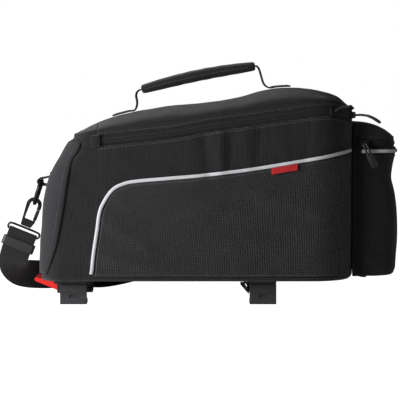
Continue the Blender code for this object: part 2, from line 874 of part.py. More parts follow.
def pocket_turns(steps):
    return [math.pi * (n / steps - 0.5) for n in range(steps + 1)]


def pocket_cloth(name, profile, wall, surface):
    turns = pocket_turns(POCKET_STEPS)
    cells = [
        ((r, c), (r, c + 1), (r + 1, c + 1), (r + 1, c))
        for r in range(len(profile) - 1)
        for c in range(POCKET_STEPS)
    ]
    cloth(name, cells, lambda key: pocket_point(profile[key[0]], turns[key[1]]), wall, surface)


def build_pocket(paint):
    low, high = POCKET_PROFILE[-1], POCKET_DOME[0]
    seam = POCKET_ZIP_GAP / BODY_HEIGHT
    band = ((low[0], low[1] + seam, low[2]), (high[0], high[1] - seam, high[2]))
    pocket_cloth("rear_pocket", POCKET_PROFILE, POCKET_WALL, paint["body_cloth"])
    pocket_cloth("pocket_zip", band, ZIP_WALL, paint["zip_tape"])
    pocket_cloth("pocket_lid", POCKET_DOME, POCKET_WALL, paint["body_cloth"])
    line = (low[0], low[1] - PIPING_WIDTH / BODY_HEIGHT, low[2])
    stations = []
    for turn in pocket_turns(POCKET_PIPING_STEPS)[1:-1]:
        point = pocket_point(line, turn)
        travel = pocket_point(line, turn + 0.01) - pocket_point(line, turn - 0.01)
        outward = travel.cross(Vector((0, 0, 1))).normalized()
        centre = point + outward * (LAYER_GAP + PIPING_HEIGHT / 2)
        stations.append((centre, outward, PIPING_HEIGHT / 2, PIPING_WIDTH / 2))
    sweep("pocket_piping", stations, round_section(6), paint["reflective"])


# Handle
GRIP_SECTION = (
    (-1.0, -0.45),
    (-0.8, -0.90),
    (0.0, -1.00),
    (0.8, -0.90),
    (1.0, -0.45),
    (1.0, 0.45),
    (0.8, 0.90),
    (0.0, 1.00),
    (-0.8, 0.90),
    (-1.0, 0.45),
)


def build_handle(paint):
    across = Vector((0, 1, 0))

    def lid_top(along):
        return Vector((x_at(along), 0, crest_z(x_at(along)) + LAYER_GAP + WEB_THICKNESS / 2 + CREST_SAG))

    def place(row):
        return Vector((x_at(row[0]), 0, z_at(row[1])))

    def sewn(start, end):
        return [lid_top(start + (end - start) * n / SEWN_STEPS) for n in range(SEWN_STEPS + 1)]

    front = sewn(HANDLE_FRONT_SEWN[0], HANDLE_FRONT_SEWN[1]) + [place(row) for row in HANDLE_FRONT]
    rear = [place(row) for row in HANDLE_REAR] + sewn(HANDLE_REAR_SEWN[0], HANDLE_REAR_SEWN[1])
    for name, line in (("handle_web_front", front), ("handle_web_rear", rear)):
        stations = [(point, across, HANDLE_WEB_WIDTH / 2, WEB_THICKNESS / 2) for point in line]
        sweep(name, stations, RECTANGLE, paint["webbing"])

    start, end = front[-1], rear[0]
    reach = end - start
    rise = Vector((-reach.z, 0, reach.x)).normalized()
    stations = []
    for n in range(GRIP_STEPS + 1):
        share = n / GRIP_STEPS
        swell = math.sin(math.pi * share)
        inset = GAP * (1 - 2 * share)
        centre = start + reach * share + reach.normalized() * inset + rise * GRIP_BOW * swell
        thick = GRIP_END_THICKNESS + (GRIP_THICKNESS - GRIP_END_THICKNESS) * swell**0.5
        wide = HANDLE_WEB_WIDTH + (GRIP_WIDTH - HANDLE_WEB_WIDTH) * swell**0.5
        stations.append((centre, across, wide / 2, thick / 2))
    sweep("handle_grip", stations, GRIP_SECTION, paint["webbing"])


# Rings, hooks and shoulder strap
def loop_points(middle, right, up, half_right, half_up, corner):
    """Points round a rectangle with rounded corners, anticlockwise about right x up."""
    points = []
    for u, v in ((-1, -1), (1, -1), (1, 1), (-1, 1)):
        for n in range(CORNER_STEPS + 1):
            angle = math.atan2(v, u) + (n / CORNER_STEPS - 0.5) * math.pi / 2
            along = u * (half_right - corner) + corner * math.cos(angle)
            rise = v * (half_up - corner) + corner * math.sin(angle)
            points.append(middle + right * along + up * rise)
    return points


def strap_ring(name, bar, down, across, paint):
    """D-shaped ring: a straight bar through the web loop and an arc that hangs along down."""
    normal = across.cross(down).normalized()
    line = [bar + across * (RING_HALF_WIDTH - RING_CORNER) * share for share in (-1.0, 0.0, 1.0)]
    shoulder = RING_LENGTH * RING_SHOULDER
    for n in range(RING_STEPS + 1):
        turn = math.pi * n / RING_STEPS
        drop = shoulder + (RING_LENGTH - shoulder) * math.sin(turn)
        line.append(bar + across * RING_HALF_WIDTH * math.cos(turn) + down * drop)
    stations = [(point, normal, RING_WIRE / 2, RING_WIRE / 2) for point in line]
    sweep(name, stations, round_section(8), paint["black_metal"], closed=True)


def web_loop(name, anchor, outward, across, reach, paint):
    """Short webbing sewn to the bag at anchor and folded round the ring's bar, reach out."""
    radius = RING_WIRE / 2 + GAP + WEB_THICKNESS / 2
    rest = WEB_THICKNESS / 2 + LAYER_GAP
    upper = [(rest, radius + LOOP_SEWN), (rest + CREST_SAG, radius + LOOP_SEWN / 3)]
    turns = [LOOP_WRAP * (0.5 - n / LOOP_STEPS) for n in range(LOOP_STEPS + 1)]
    fold = [(reach + radius * math.cos(turn), radius * math.sin(turn)) for turn in turns]
    lower = [(rest + CREST_SAG, -radius - WEB_THICKNESS)]
    stations = []
    for out, up in upper + fold + lower:
        centre = anchor + outward * out + Vector((0, 0, up))
        stations.append((centre, across, LOOP_WIDTH / 2, WEB_THICKNESS / 2))
    sweep(name, stations, RECTANGLE, paint["webbing"])


def hook_outline():
    """Hook seen square on: v runs from its base to its bow, u across it."""
    inner = HOOK_HALF_WIDTH - HOOK_BAR
    middle = HOOK_BASE + HOOK_WINDOW - inner
    nose = middle - HOOK_NOSE
    turns = [math.pi * n / HOOK_STEPS for n in range(HOOK_STEPS + 1)]
    outer = [(HOOK_HALF_WIDTH * math.cos(turn), middle + HOOK_HALF_WIDTH * math.sin(turn)) for turn in turns]
    inside = [(inner * math.cos(turn), middle + inner * math.sin(turn)) for turn in reversed(turns)]
    base = [(inner, HOOK_BASE), (-HOOK_HALF_WIDTH, HOOK_BASE), (-HOOK_FOOT, 0.0), (HOOK_FOOT, 0.0)]
    return [*outer, (-HOOK_HALF_WIDTH, nose), (-inner, nose), *inside, *base]


def gate_pivot():
    """Place of the gate's pivot in the hook's frame, and the gate's half-width."""
    half = (HOOK_BAR - GAP) / 2
    return (half - HOOK_HALF_WIDTH, HOOK_BASE + GAP + half), half


def gate_outline():
    """Gate about its pivot, with a round foot that turns clear of the hook's base."""
    (_, pivot_v), half = gate_pivot()
    inner = HOOK_HALF_WIDTH - HOOK_BAR
    top = HOOK_BASE + HOOK_WINDOW - inner - HOOK_NOSE - GATE_GAP - pivot_v
    turns = [math.pi * (1 + n / GATE_STEPS) for n in range(GATE_STEPS + 1)]
    return [(half * math.cos(turn), half * math.sin(turn)) for turn in turns] + [(half, top), (-half, top)]


def snap_hook(name, wire, down, across, paint):
    """Hook on a ring's wire with its gate and the strap's eye. Returns the eye's lower bar."""
    base = wire + down * (HOOK_BASE + HOOK_WINDOW - RING_WIRE / 2 - RING_PLAY)
    normal = across.cross(-down)
    frame = Matrix.Translation(base) @ Matrix((across, -down, normal)).transposed().to_4x4()
    prism("hook_" + name, hook_outline(), HOOK_THICKNESS, frame, paint["black_metal"], HOOK_BEVEL)
    pivot = frame @ Matrix.Translation((*gate_pivot()[0], 0.0))
    prism("hook_gate_" + name, gate_outline(), HOOK_THICKNESS * GATE_SHARE, pivot, paint["black_metal"])
    half = STRAP_WIDTH / 2 + EYE_CLEARANCE + EYE_BAR / 2
    rise = EYE_OPENING / 2 + EYE_BAR / 2
    middle = base + down * (GAP + EYE_BAR + EYE_OPENING / 2)
    line = loop_points(middle, across, -down, half, rise, EYE_CORNER)
    stations = [(point, normal, EYE_BAR / 2, EYE_BAR / 2) for point in line]
    sweep("strap_eye_" + name, stations, round_section(6), paint["black_metal"], closed=True)
    return middle + down * rise


def strap_fold(bar, down, normal, edge):
    """Strap stations from its sewn end up round an eye's bar and back down behind it."""
    radius = EYE_BAR / 2 + GAP + STRAP_THICKNESS / 2
    close = STRAP_THICKNESS / 2 + LAYER_GAP
    turns = [math.pi * (0.5 - n / FOLD_STEPS) for n in range(FOLD_STEPS + 1)]
    front = [(STRAP_TAIL, close), (STRAP_TAIL * FOLD_SHARE, close)]
    bend = [(-radius * math.cos(turn), radius * math.sin(turn)) for turn in turns]
    back = [(STRAP_TAIL * FOLD_SHARE, -close), (STRAP_TAIL, -close)]
    return [(bar + down * drop + normal * off, edge) for drop, off in front + bend + back]


def strap_row(row):
    along, out, up = row[:3]
    edge = Vector(row[3:]).normalized()
    height = max(abs(edge.z) * STRAP_WIDTH / 2 + GAP, up * BODY_HEIGHT)
    return (x_at(along), out * HALF_WIDTH, FLOOR_Z + height, *edge)


def build_strap(front, rear, paint):
    """Strap from its front fold, down on edge to the floor behind the bag, up to its rear fold."""
    rows = [(*front[-1][0], *front[-1][1])]
    rows += [strap_row(row) for row in STRAP_ROUTE]
    rows += [(*rear[-1][0], *rear[-1][1])]
    middle = [(Vector(row[:3]), Vector(row[3:])) for row in blend_rows(rows, STRAP_STEPS)]
    line = front[:-1] + middle + rear[-2::-1]
    stations = [(centre, edge, STRAP_WIDTH / 2, STRAP_THICKNESS / 2) for centre, edge in line]
    sweep("shoulder_strap", stations, RECTANGLE, paint["webbing"])


def build_strap_slider(bar, down, across, normal, paint):
    """Sleeve that keeps both layers of the strap together below the front eye."""
    middle = bar + down * STRAP_TAIL * SLIDER_SHARE
    half = STRAP_WIDTH / 2 + EYE_CLEARANCE + SLIDER_WALL / 2
    rise = STRAP_THICKNESS + LAYER_GAP * 2 + SLIDER_PLAY + SLIDER_WALL / 2
    line = loop_points(middle, across, normal, half, rise, SLIDER_WALL)
    stations = [(point, down, SLIDER_LENGTH / 2, SLIDER_WALL / 2) for point in line]
    sweep("strap_slider", stations, RECTANGLE, paint["black_plastic"], closed=True)


def leaning(outward, tilt):
    """Downward direction that leans outward by tilt, and the direction square to it."""
    down = outward * math.sin(tilt) + Vector((0, 0, -math.cos(tilt)))
    across = outward * math.cos(tilt) + Vector((0, 0, math.sin(tilt)))
    return down, across


def build_carrying(paint):
    """Front and rear rings with their hooks, and the strap between them."""
    folds = []
    turn = math.radians(REAR_RING_TURN)
    rear_out = Vector((math.cos(turn), math.sin(turn), 0))
    corner = Vector((REAR_X - REAR_CORNER_RADIUS, HALF_WIDTH - REAR_CORNER_RADIUS, z_at(REAR_LOOP_UP)))
    rear = corner + rear_out * (REAR_CORNER_RADIUS + SIDE_BULGE)
    front_z = z_at(FRONT_LOOP_UP)
    front = Vector((front_x(front_z) - FRONT_LIFT - PANEL_WALL, 0, front_z))
    places = (
        ("front", front, Vector((-1, 0, 0)), FRONT_LOOP_REACH, RING_TILT, -1),
        ("rear", rear, rear_out, REAR_LOOP_REACH, REAR_RING_TILT, 1),
    )
    for name, anchor, outward, reach, tilt, edge_side in places:
        along_wall = Vector((0, 0, 1)).cross(outward)
        bar = anchor + outward * reach
        web_loop("web_loop_" + name, anchor, outward, along_wall, reach, paint)
        ring_down = leaning(outward, tilt)[0]
        strap_ring("ring_" + name, bar, ring_down, along_wall, paint)
        down, across = leaning(outward, HOOK_TILT)
        eye = snap_hook(name, bar + ring_down * RING_LENGTH, down, across, paint)
        normal = across.cross(-down)
        if name == "front":
            build_strap_slider(eye, down, across, normal, paint)
        folds.append(strap_fold(eye, down, normal * edge_side, across * edge_side))
    build_strap(folds[0], folds[1], paint)


# Zip pulls
def slider_with_pull(name, point, outward, droop, paint, lean=0.0):
    """Slider on a zip and its pull: a cord loop that widens into a slotted tag."""
    up = Vector((0, 0, 1))
    tangent = up.cross(outward).normalized()
    middle = point + outward * (LAYER_GAP + ZIP_SLIDER_THICKNESS / 2)
    frame = Matrix.Translation(middle) @ Matrix((tangent, up, outward)).transposed().to_4x4()
    half_long, half_tall = ZIP_SLIDER_LENGTH / 2, ZIP_SLIDER_HEIGHT / 2
    corners = ((-1, -1), (1, -1), (1, 1), (-1, 1))
    outline = [(u * half_long, v * half_tall) for u, v in corners]
    prism("zip_slider_" + name, outline, ZIP_SLIDER_THICKNESS, frame, paint["black_metal"], ZIP_SLIDER_BEVEL)

    start = middle + outward * (ZIP_SLIDER_THICKNESS / 2 + GAP + PULL_CORD / 2)
    rise = up * math.cos(lean) - tangent * math.sin(lean)
    sideways = tangent * math.cos(lean) + up * math.sin(lean)
    out_side, back_side = [], []
    for share, half_gap in PULL_SHAPE:
        bend = math.radians(droop[0] + (droop[1] - droop[0]) * share)
        travel = outward * math.cos(bend) + rise * math.sin(bend)
        centre = start + travel * PULL_LENGTH * share
        across = sideways * half_gap * PULL_LENGTH
        out_side.append((centre + across, travel))
        back_side.append((centre - across, travel))
    line = out_side + back_side[::-1]
    stations = []
    for centre, travel in line:
        stations.append((centre, sideways.cross(travel), PULL_CORD / 2, PULL_CORD / 2))
    sweep("zip_pull_" + name, stations, round_section(6), paint["black_plastic"], closed=True)


def build_zip_pulls(paint):
    for name, turn_degrees, droop in MAIN_PULLS:
        turn = math.radians(turn_degrees)
        outward = Vector((math.cos(turn), -math.sin(turn), 0))
        reach = HALF_WIDTH - REAR_CORNER_RADIUS
        x = REAR_X - REAR_CORNER_RADIUS + REAR_CORNER_RADIUS * outward.x
        y = -reach + REAR_CORNER_RADIUS * outward.y
        slider_with_pull(name, Vector((x, y, zip_z(x))), outward, droop, paint)
    low, high = POCKET_PROFILE[-1], POCKET_DOME[0]
    row = [(a + b) / 2 for a, b in zip(low, high)]
    turn = math.radians(POCKET_PULL_TURN)
    travel = pocket_point(row, turn + 0.01) - pocket_point(row, turn - 0.01)
    outward = travel.cross(Vector((0, 0, 1))).normalized()
    place = pocket_point(row, turn)
    slider_with_pull("pocket", place, outward, POCKET_PULL_DROOP, paint, POCKET_PULL_LEAN)


# Rack adapter
def build_adapter(paint):
    """Seat plate with two cross rails, four clamp feet and the release lever."""
    grey, black = paint["grey_plastic"], paint["black_plastic"]
    rear_rail = FOOT_SPACING / 2
    front_start = -rear_rail - FOOT_LENGTH / 2 - RAIL_FORWARD
    front_end = -rear_rail + FOOT_LENGTH / 2
    rails = {
        "front": (front_start, front_end),
        "rear": (rear_rail - FOOT_LENGTH / 2, rear_rail + FOOT_LENGTH / 2),
    }
    for word, (start, end) in rails.items():
        low = (start, -FOOT_HALF_TRACK, 0)
        high = (end, FOOT_HALF_TRACK, PLATE_THICKNESS)
        box("adapter_rail_" + word, low, high, grey, RAIL_BEVEL)
    low = (front_end + GAP, -PLATE_HALF_WIDTH, 0)
    box("adapter_plate", low, (rails["rear"][0] - GAP, PLATE_HALF_WIDTH, PLATE_THICKNESS), grey)
    for word, middle in (("front", -rear_rail), ("rear", rear_rail)):
        for side, side_word in ((-1, "near"), (1, "far")):
            build_foot("foot_%s_%s" % (word, side_word), middle, side, paint)
    for side, side_word in ((-1, "near"), (1, "far")):
        build_brace("foot_brace_" + side_word, rails["rear"][0], side, grey)
    build_lever(front_start + LEVER_INSET, paint, black)


def build_foot(name, x, side, paint):
    """C-shaped clamp foot that is open towards the middle, where the rack's tube goes."""
    outer = FOOT_HALF_TRACK
    inner = outer - FOOT_WALL
    mouth = inner - JAW_DEPTH
    top = -GAP
    lip = -SEAT_DROP + FOOT_LIP
    roof = lip + JAW_HEIGHT
    joint = (top - SEAT_DROP) / 2 + PARTING_RISE
    outline = [
        (mouth, top),
        (mouth, roof),
        (inner, roof),
        (inner, lip),
        (mouth, lip),
        (mouth, -SEAT_DROP),
        (outer, -SEAT_DROP),
        (outer, joint - GROOVE / 2),
        (outer - GROOVE, joint),
        (outer, joint + GROOVE / 2),
        (outer, top),
    ]
    frame = Matrix(((0, 0, side, x), (side, 0, 0, 0), (0, 1, 0, 0), (0, 0, 0, 1)))
    foot = prism(name, outline, FOOT_LENGTH, frame, paint["grey_plastic"], FOOT_BEVEL)
    slot_z = joint - SLOT_DROP
    low = (x - SLOT_LENGTH / 2, min(side * (outer - SLOT_DEPTH), side * (outer + SLOT_DEPTH)), slot_z)
    high = (x + SLOT_LENGTH / 2, low[1] + 2 * SLOT_DEPTH, slot_z + SLOT_HEIGHT)
    cut(foot, box("slot_cutter_" + name, low, high, paint["black_plastic"]))


def build_brace(name, rail_start, side, surface):
    """Diagonal arm from the rear rail down to the front of a rear foot."""
    top, arm = -GAP, BRACE_ARM
    outline = [
        (-BRACE_REACH, top), (-BRACE_REACH, top - arm), (-GAP, top - BRACE_DROP - arm),
        (-GAP, top - BRACE_DROP), (-BRACE_REACH + arm * 2, top - arm * 0.5), (BRACE_LAP, top - arm * 0.5),
        (BRACE_LAP, top),
    ]
    y = side * (FOOT_HALF_TRACK - FOOT_WALL - JAW_DEPTH - BRACE_WIDTH / 2 - GAP)
    prism(name, outline, BRACE_WIDTH, upright(rail_start, y, 0.0), surface)


def build_lever(x, paint, black):
    """Red paddle on a pin between two ears under the front rail."""
    pin_z = -LEVER_HUB_RADIUS - LEVER_CLEARANCE
    turns = [LEVER_HUB_WRAP * (0.5 - n / HUB_STEPS) for n in range(HUB_STEPS + 1)]
    hub = [(LEVER_HUB_RADIUS * math.cos(turn), LEVER_HUB_RADIUS * math.sin(turn)) for turn in turns]
    tip_top = LEVER_TIP_RISE + LEVER_TIP_THICKNESS / 2
    tip = [(-LEVER_REACH + LEVER_TIP_THICKNESS / 4, tip_top - LEVER_TIP_THICKNESS),
           (-LEVER_REACH, tip_top - LEVER_TIP_THICKNESS * 0.7),
           (-LEVER_REACH, tip_top - LEVER_TIP_THICKNESS * 0.3),
           (-LEVER_REACH + LEVER_TIP_THICKNESS / 4, tip_top)]
    frame = upright(x, 0.0, pin_z)
    lever = prism("release_lever", hub + tip, LEVER_WIDTH, frame, paint["red_plastic"], LEVER_BEVEL)
    bore = prism("bore_cutter", circle(LEVER_PIN_RADIUS + PIN_CLEARANCE), LEVER_WIDTH * 2, frame, black)
    cut(lever, bore)
    half = LEVER_WIDTH / 2 + PIN_CLEARANCE
    prism("lever_pin", circle(LEVER_PIN_RADIUS), 2 * half, frame, paint["black_metal"])
    for side, word in ((-1, "near"), (1, "far")):
        inner, outer = sorted((side * (half + GAP), side * (half + GAP + EAR_WALL)))
        low = (x - LEVER_INSET + GAP, inner, pin_z - LEVER_HUB_RADIUS)
        box("lever_ear_" + word, low, (x + LEVER_HUB_RADIUS, outer, -GAP), black, LEVER_BEVEL)


def circle(radius):
    return [(radius * u, radius * v) for u, v in round_section(16)]


def main():
    for leftover in list(bpy.data.objects):
        bpy.data.objects.remove(leftover, do_unlink=True)
    paint = make_materials()
    build_main_bag(paint)
    build_panels(paint)
    build_pocket(paint)
    build_handle(paint)
    build_carrying(paint)
    build_zip_pulls(paint)
    build_adapter(paint)


main()
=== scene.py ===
# Looks of the bicycle trunk bag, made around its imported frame.
# Metres, +Z up, +X to the rear. The origin is the centre of the adapter's flat seat.
import math

import bmesh
import bpy
from mathutils import Matrix, Vector, noise


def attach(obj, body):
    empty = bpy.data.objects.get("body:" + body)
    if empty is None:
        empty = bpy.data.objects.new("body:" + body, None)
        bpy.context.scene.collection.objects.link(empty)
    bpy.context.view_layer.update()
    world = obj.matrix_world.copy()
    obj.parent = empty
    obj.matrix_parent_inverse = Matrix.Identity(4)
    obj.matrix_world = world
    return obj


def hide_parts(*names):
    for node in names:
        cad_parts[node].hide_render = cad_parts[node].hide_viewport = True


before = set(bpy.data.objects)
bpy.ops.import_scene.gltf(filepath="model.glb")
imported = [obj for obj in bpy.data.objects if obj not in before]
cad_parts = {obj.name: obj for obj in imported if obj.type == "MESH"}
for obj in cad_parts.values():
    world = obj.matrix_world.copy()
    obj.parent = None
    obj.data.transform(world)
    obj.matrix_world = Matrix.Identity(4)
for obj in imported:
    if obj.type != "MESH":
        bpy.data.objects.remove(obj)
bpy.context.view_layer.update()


# Driving dimensions
BODY_LENGTH = 0.3130
BODY_WIDTH = 0.170
BODY_HEIGHT = 0.1921
FRONT_OVERHANG = 0.1270
FRONT_CORNER_RADIUS = 0.020
REAR_CORNER_RADIUS = 0.042
FRONT_EDGE_RADIUS = 0.003
SIDE_EDGE_RADIUS = 0.006
SIDE_BULGE = 0.0015
LID_ROUNDNESS = 2.8
LID_EDGE = 0.003
SHELL_WALL = 0.0025
PANEL_WALL = 0.0010
GAP = 0.0003
LAYER_GAP = 0.0005
FRONT_LIFT = 0.0008

ZIP_BAND = 0.010
ZIP_WALL = 0.0014
HINGE_SHARE = 0.1824

POCKET_DEPTH = 0.0452
POCKET_WIDTH = 0.114
POCKET_SQUARENESS = 5.0
POCKET_WALL = 0.0022
POCKET_SEAM = 0.0018
POCKET_ZIP_GAP = 0.0007

PIPING_WIDTH = 0.0034
PIPING_HEIGHT = 0.0022
LABEL_LENGTH = 0.026
LABEL_DROP = 0.0064
LABEL_WALL = 0.0008
LABEL_ALONG = 0.7347
ZIP_TAB_LENGTH = 0.0065
TAB_LAP = 0.0008

HANDLE_WEB_WIDTH = 0.025
WEB_THICKNESS = 0.0017
GRIP_WIDTH = 0.030
GRIP_THICKNESS = 0.012
GRIP_END_THICKNESS = 0.0083
GRIP_BOW = 0.0025
CREST_SAG = 0.0003

STRAP_WIDTH = 0.030
STRAP_THICKNESS = 0.0016

RING_WIRE = 0.0040
RING_LENGTH = 0.0247
RING_HALF_WIDTH = 0.0165
RING_TILT = math.radians(17.4)
HOOK_TILT = math.radians(22)
HOOK_THICKNESS = 0.0050
HOOK_BAR = 0.0038
HOOK_HALF_WIDTH = 0.0080
HOOK_WINDOW = 0.0202
HOOK_BASE = 0.0077
EYE_BAR = 0.0028
EYE_OPENING = 0.0037
EYE_CLEARANCE = 0.0007
EYE_CORNER = 0.0026
RING_CORNER = 0.0030
RING_SHOULDER = 0.22
HOOK_NOSE = 0.0035
HOOK_FOOT = 0.0055
HOOK_BEVEL = 0.0006
GATE_GAP = 0.0005
GATE_SHARE = 0.8
RING_PLAY = 0.0009
LOOP_WIDTH = 0.025
FRONT_LOOP_REACH = 0.0115
REAR_LOOP_REACH = 0.0063
LOOP_SEWN = 0.006
LOOP_WRAP = math.radians(210)
FRONT_LOOP_UP = 0.500
REAR_LOOP_UP = 0.760
REAR_RING_TURN = 55
REAR_RING_TILT = math.radians(19)
STRAP_TAIL = 0.021
SLIDER_WALL = 0.0016
SLIDER_PLAY = 0.0012
SLIDER_LENGTH = 0.009
SLIDER_SHARE = 0.58
FOLD_SHARE = 0.38

ZIP_SLIDER_LENGTH = 0.010
ZIP_SLIDER_HEIGHT = 0.0065
ZIP_SLIDER_THICKNESS = 0.0035
ZIP_SLIDER_BEVEL = 0.0008
PULL_LENGTH = 0.026
PULL_CORD = 0.0026
POCKET_PULL_TURN = -88
POCKET_PULL_LEAN = math.radians(25)

PLATE_THICKNESS = 0.0038
PLATE_HALF_WIDTH = 0.039
SEAT_DROP = 0.0205
FOOT_LENGTH = 0.0268
FOOT_SPACING = 0.1907
FOOT_HALF_TRACK = 0.065
FOOT_WALL = 0.006
JAW_DEPTH = 0.013
JAW_HEIGHT = 0.0115
FOOT_LIP = 0.0045
RAIL_FORWARD = 0.006

LEVER_WIDTH = 0.040
LEVER_HUB_RADIUS = 0.0050
LEVER_HUB_WRAP = math.radians(200)
LEVER_PIN_RADIUS = 0.0020
LEVER_REACH = 0.0300
LEVER_TIP_RISE = 0.0088
LEVER_TIP_THICKNESS = 0.0040
EAR_WALL = 0.0038
LEVER_INSET = 0.0068
LEVER_CLEARANCE = 0.0035
LEVER_BEVEL = 0.0005
PIN_CLEARANCE = 0.0003
PARTING_RISE = 0.0012
GROOVE = 0.0008
SLOT_LENGTH = 0.008
SLOT_HEIGHT = 0.003
SLOT_DEPTH = 0.0016
SLOT_DROP = 0.0045
FOOT_BEVEL = 0.0005
RAIL_BEVEL = 0.0006
BRACE_REACH = 0.009
BRACE_ARM = 0.0022
BRACE_DROP = 0.010
BRACE_WIDTH = 0.006
BRACE_LAP = 0.008

# Shapes as shares of the sizes above
# Closed lid's top line: along is a share of BODY_LENGTH, up of BODY_HEIGHT.
CREST = (
    (0.1060, 0.744),
    (0.1176, 0.768),
    (0.1935, 0.827),
    (0.2937, 0.872),
    (0.3948, 0.903),
    (0.5081, 0.920),
    (0.6345, 0.951),
    (0.7306, 0.990),
    (0.8024, 1.000),
    (0.8651, 0.995),
    (0.9117, 0.980),
    (0.9552, 0.956),
    (0.9815, 0.918),
    (1.000, 0.887),
)
# Middle of the lid's zip: along, up.
ZIP_LINE = (
    (0.0752, 0.716),
    (0.1824, 0.731),
    (0.3321, 0.756),
    (0.4342, 0.775),
    (0.5374, 0.806),
    (0.6983, 0.842),
    (0.7893, 0.864),
    (0.9127, 0.885),
    (1.000, 0.858),
)
# Front wall from the base to the lid: up, along.
FRONT_PROFILE = (
    (0.000, 0.0000),
    (0.066, 0.0000),
    (0.184, 0.0030),
    (0.319, 0.0111),
    (0.426, 0.0182),
    (0.539, 0.0344),
    (0.649, 0.0688),
    (0.722, 0.0955),
    (0.744, 0.1060),
)
# Sewn edge of the front panel on each side: up, along.
FRONT_SEAM = (
    (0.042, 0.0215),
    (0.198, 0.0539),
    (0.377, 0.0752),
    (0.540, 0.0914),
    (0.630, 0.1035),
    (0.690, 0.1278),
    (0.722, 0.1308),
)
# Reflective piping's front leg: up, along. It ends where the bend turns to the rear.
PIPING_RISE = (
    (0.042, 0.1615),
    (0.059, 0.1642),
    (0.136, 0.1692),
    (0.268, 0.1814),
    (0.373, 0.1915),
    (0.425, 0.2067),
    (0.465, 0.2228),
    (0.485, 0.2350),
)
# Its upper leg from that bend to the rear: along, up.
PIPING_RUN = (
    (0.2350, 0.485),
    (0.2471, 0.498),
    (0.2866, 0.519),
    (0.3999, 0.537),
    (0.5081, 0.552),
    (0.6558, 0.581),
    (0.7964, 0.618),
    (0.9097, 0.650),
    (0.9850, 0.678),
)
# Rear pocket's outer wall from its foot to its zip: out is a share of POCKET_DEPTH,
# up of BODY_HEIGHT and wide of POCKET_WIDTH.
POCKET_PROFILE = (
    (0.030, 0.023, 0.900),
    (0.430, 0.018, 0.960),
    (0.850, 0.016, 0.985),
    (0.955, 0.044, 1.000),
    (0.975, 0.090, 1.000),
    (1.000, 0.233, 1.000),
    (0.961, 0.437, 1.000),
    (0.901, 0.533, 1.000),
    (0.940, 0.640, 1.000),
    (0.945, 0.690, 1.000),
)
# The same wall above that zip.
POCKET_DOME = (
    (0.915, 0.736, 0.995),
    (0.905, 0.746, 0.985),
    (0.830, 0.764, 0.950),
    (0.678, 0.788, 0.900),
    (0.459, 0.810, 0.850),
    (0.223, 0.817, 0.820),
    (0.030, 0.817, 0.810),
)
# Handle webbing from the lid up to the grip, and down from the grip: along, up.
HANDLE_FRONT = (
    (0.2926, 0.881),
    (0.2997, 0.903),
    (0.3007, 0.930),
    (0.2977, 0.958),
    (0.3007, 0.978),
    (0.3088, 0.989),
    (0.3159, 0.992),
)
HANDLE_REAR = (
    (0.6891, 1.117),
    (0.6942, 1.117),
    (0.7013, 1.104),
    (0.7074, 1.074),
    (0.7144, 1.035),
    (0.7215, 1.015),
)
# Where its webbing is sewn to the lid: first and last along.
HANDLE_FRONT_SEWN = (0.2208, 0.2815)
HANDLE_REAR_SEWN = (0.7357, 0.8045)
# Shoulder strap behind the bag. The centre's along, out and up are shares of
# BODY_LENGTH, half BODY_WIDTH and BODY_HEIGHT above the floor; the last three columns
# point to its upper edge.
STRAP_ROUTE = (
    (-0.1120, 0.07, 0.193, 0.92, 0.10, -0.28),
    (-0.1069, 0.20, 0.148, 0.80, 0.35, 0.25),
    (-0.0847, 0.44, 0.112, 0.50, 0.30, 0.75),
    (-0.0331, 0.76, 0.090, 0.12, 0.12, 0.98),
    (0.0428, 1.02, 0.080, 0.00, 0.00, 1.00),
    (0.1085, 1.10, 0.080, 0.00, 0.00, 1.00),
    (0.1753, 1.10, 0.080, 0.00, 0.00, 1.00),
    (0.2623, 1.10, 0.108, -0.08, 0.00, 1.00),
    (0.3614, 1.10, 0.161, -0.20, 0.00, 0.97),
    (0.5081, 1.10, 0.260, -0.28, 0.00, 0.95),
    (0.6679, 1.11, 0.350, -0.25, 0.05, 0.96),
    (0.8419, 1.16, 0.440, -0.10, 0.35, 0.90),
)
# Pulls of the main zip: name, turn from the rear round the near corner, and the
# pull's lean at its start and end, in degrees.
MAIN_PULLS = (
    ("upper", 62, (25, 12)),
    ("lower", 22, (10, -16)),
)
POCKET_PULL_DROOP = (-68, -84)
# Outline of a pull: share of PULL_LENGTH, half the gap between its sides.
PULL_SHAPE = (
    (0.00, 0.058),
    (0.20, 0.060),
    (0.46, 0.062),
    (0.52, 0.095),
    (0.75, 0.112),
    (0.95, 0.108),
    (1.00, 0.062),
)

FRONT_X = -FRONT_OVERHANG
REAR_X = FRONT_X + BODY_LENGTH
BASE_Z = PLATE_THICKNESS + GAP
FLOOR_Z = -SEAT_DROP
HALF_WIDTH = BODY_WIDTH / 2
HINGE_X = FRONT_X + HINGE_SHARE * BODY_LENGTH


def smooth(table, key):
    """Value at key on a smooth curve through (key, value) rows, level past its ends."""
    keys = [row[0] for row in table]
    if key <= keys[0]:
        return table[0][1]
    if key >= keys[-1]:
        return table[-1][1]
    low = max(n for n in range(len(keys) - 1) if keys[n] <= key)
    start, end = table[low], table[low + 1]
    before = table[max(low - 1, 0)]
    after = table[min(low + 2, len(table) - 1)]
    step = end[0] - start[0]
    slope_in = (end[1] - before[1]) / (end[0] - before[0]) * step
    slope_out = (after[1] - start[1]) / (after[0] - start[0]) * step
    t = (key - start[0]) / step
    return (
        (2 * t**3 - 3 * t**2 + 1) * start[1]
        + (t**3 - 2 * t**2 + t) * slope_in
        + (3 * t**2 - 2 * t**3) * end[1]
        + (t**3 - t**2) * slope_out
    )


def blend_rows(rows, count):
    """Points on a smooth curve through rows of numbers, count steps to each row gap."""
    columns = [[(n, row[c]) for n, row in enumerate(rows)] for c in range(len(rows[0]))]
    steps = (len(rows) - 1) * count
    return [[smooth(column, n / count) for column in columns] for n in range(steps + 1)]


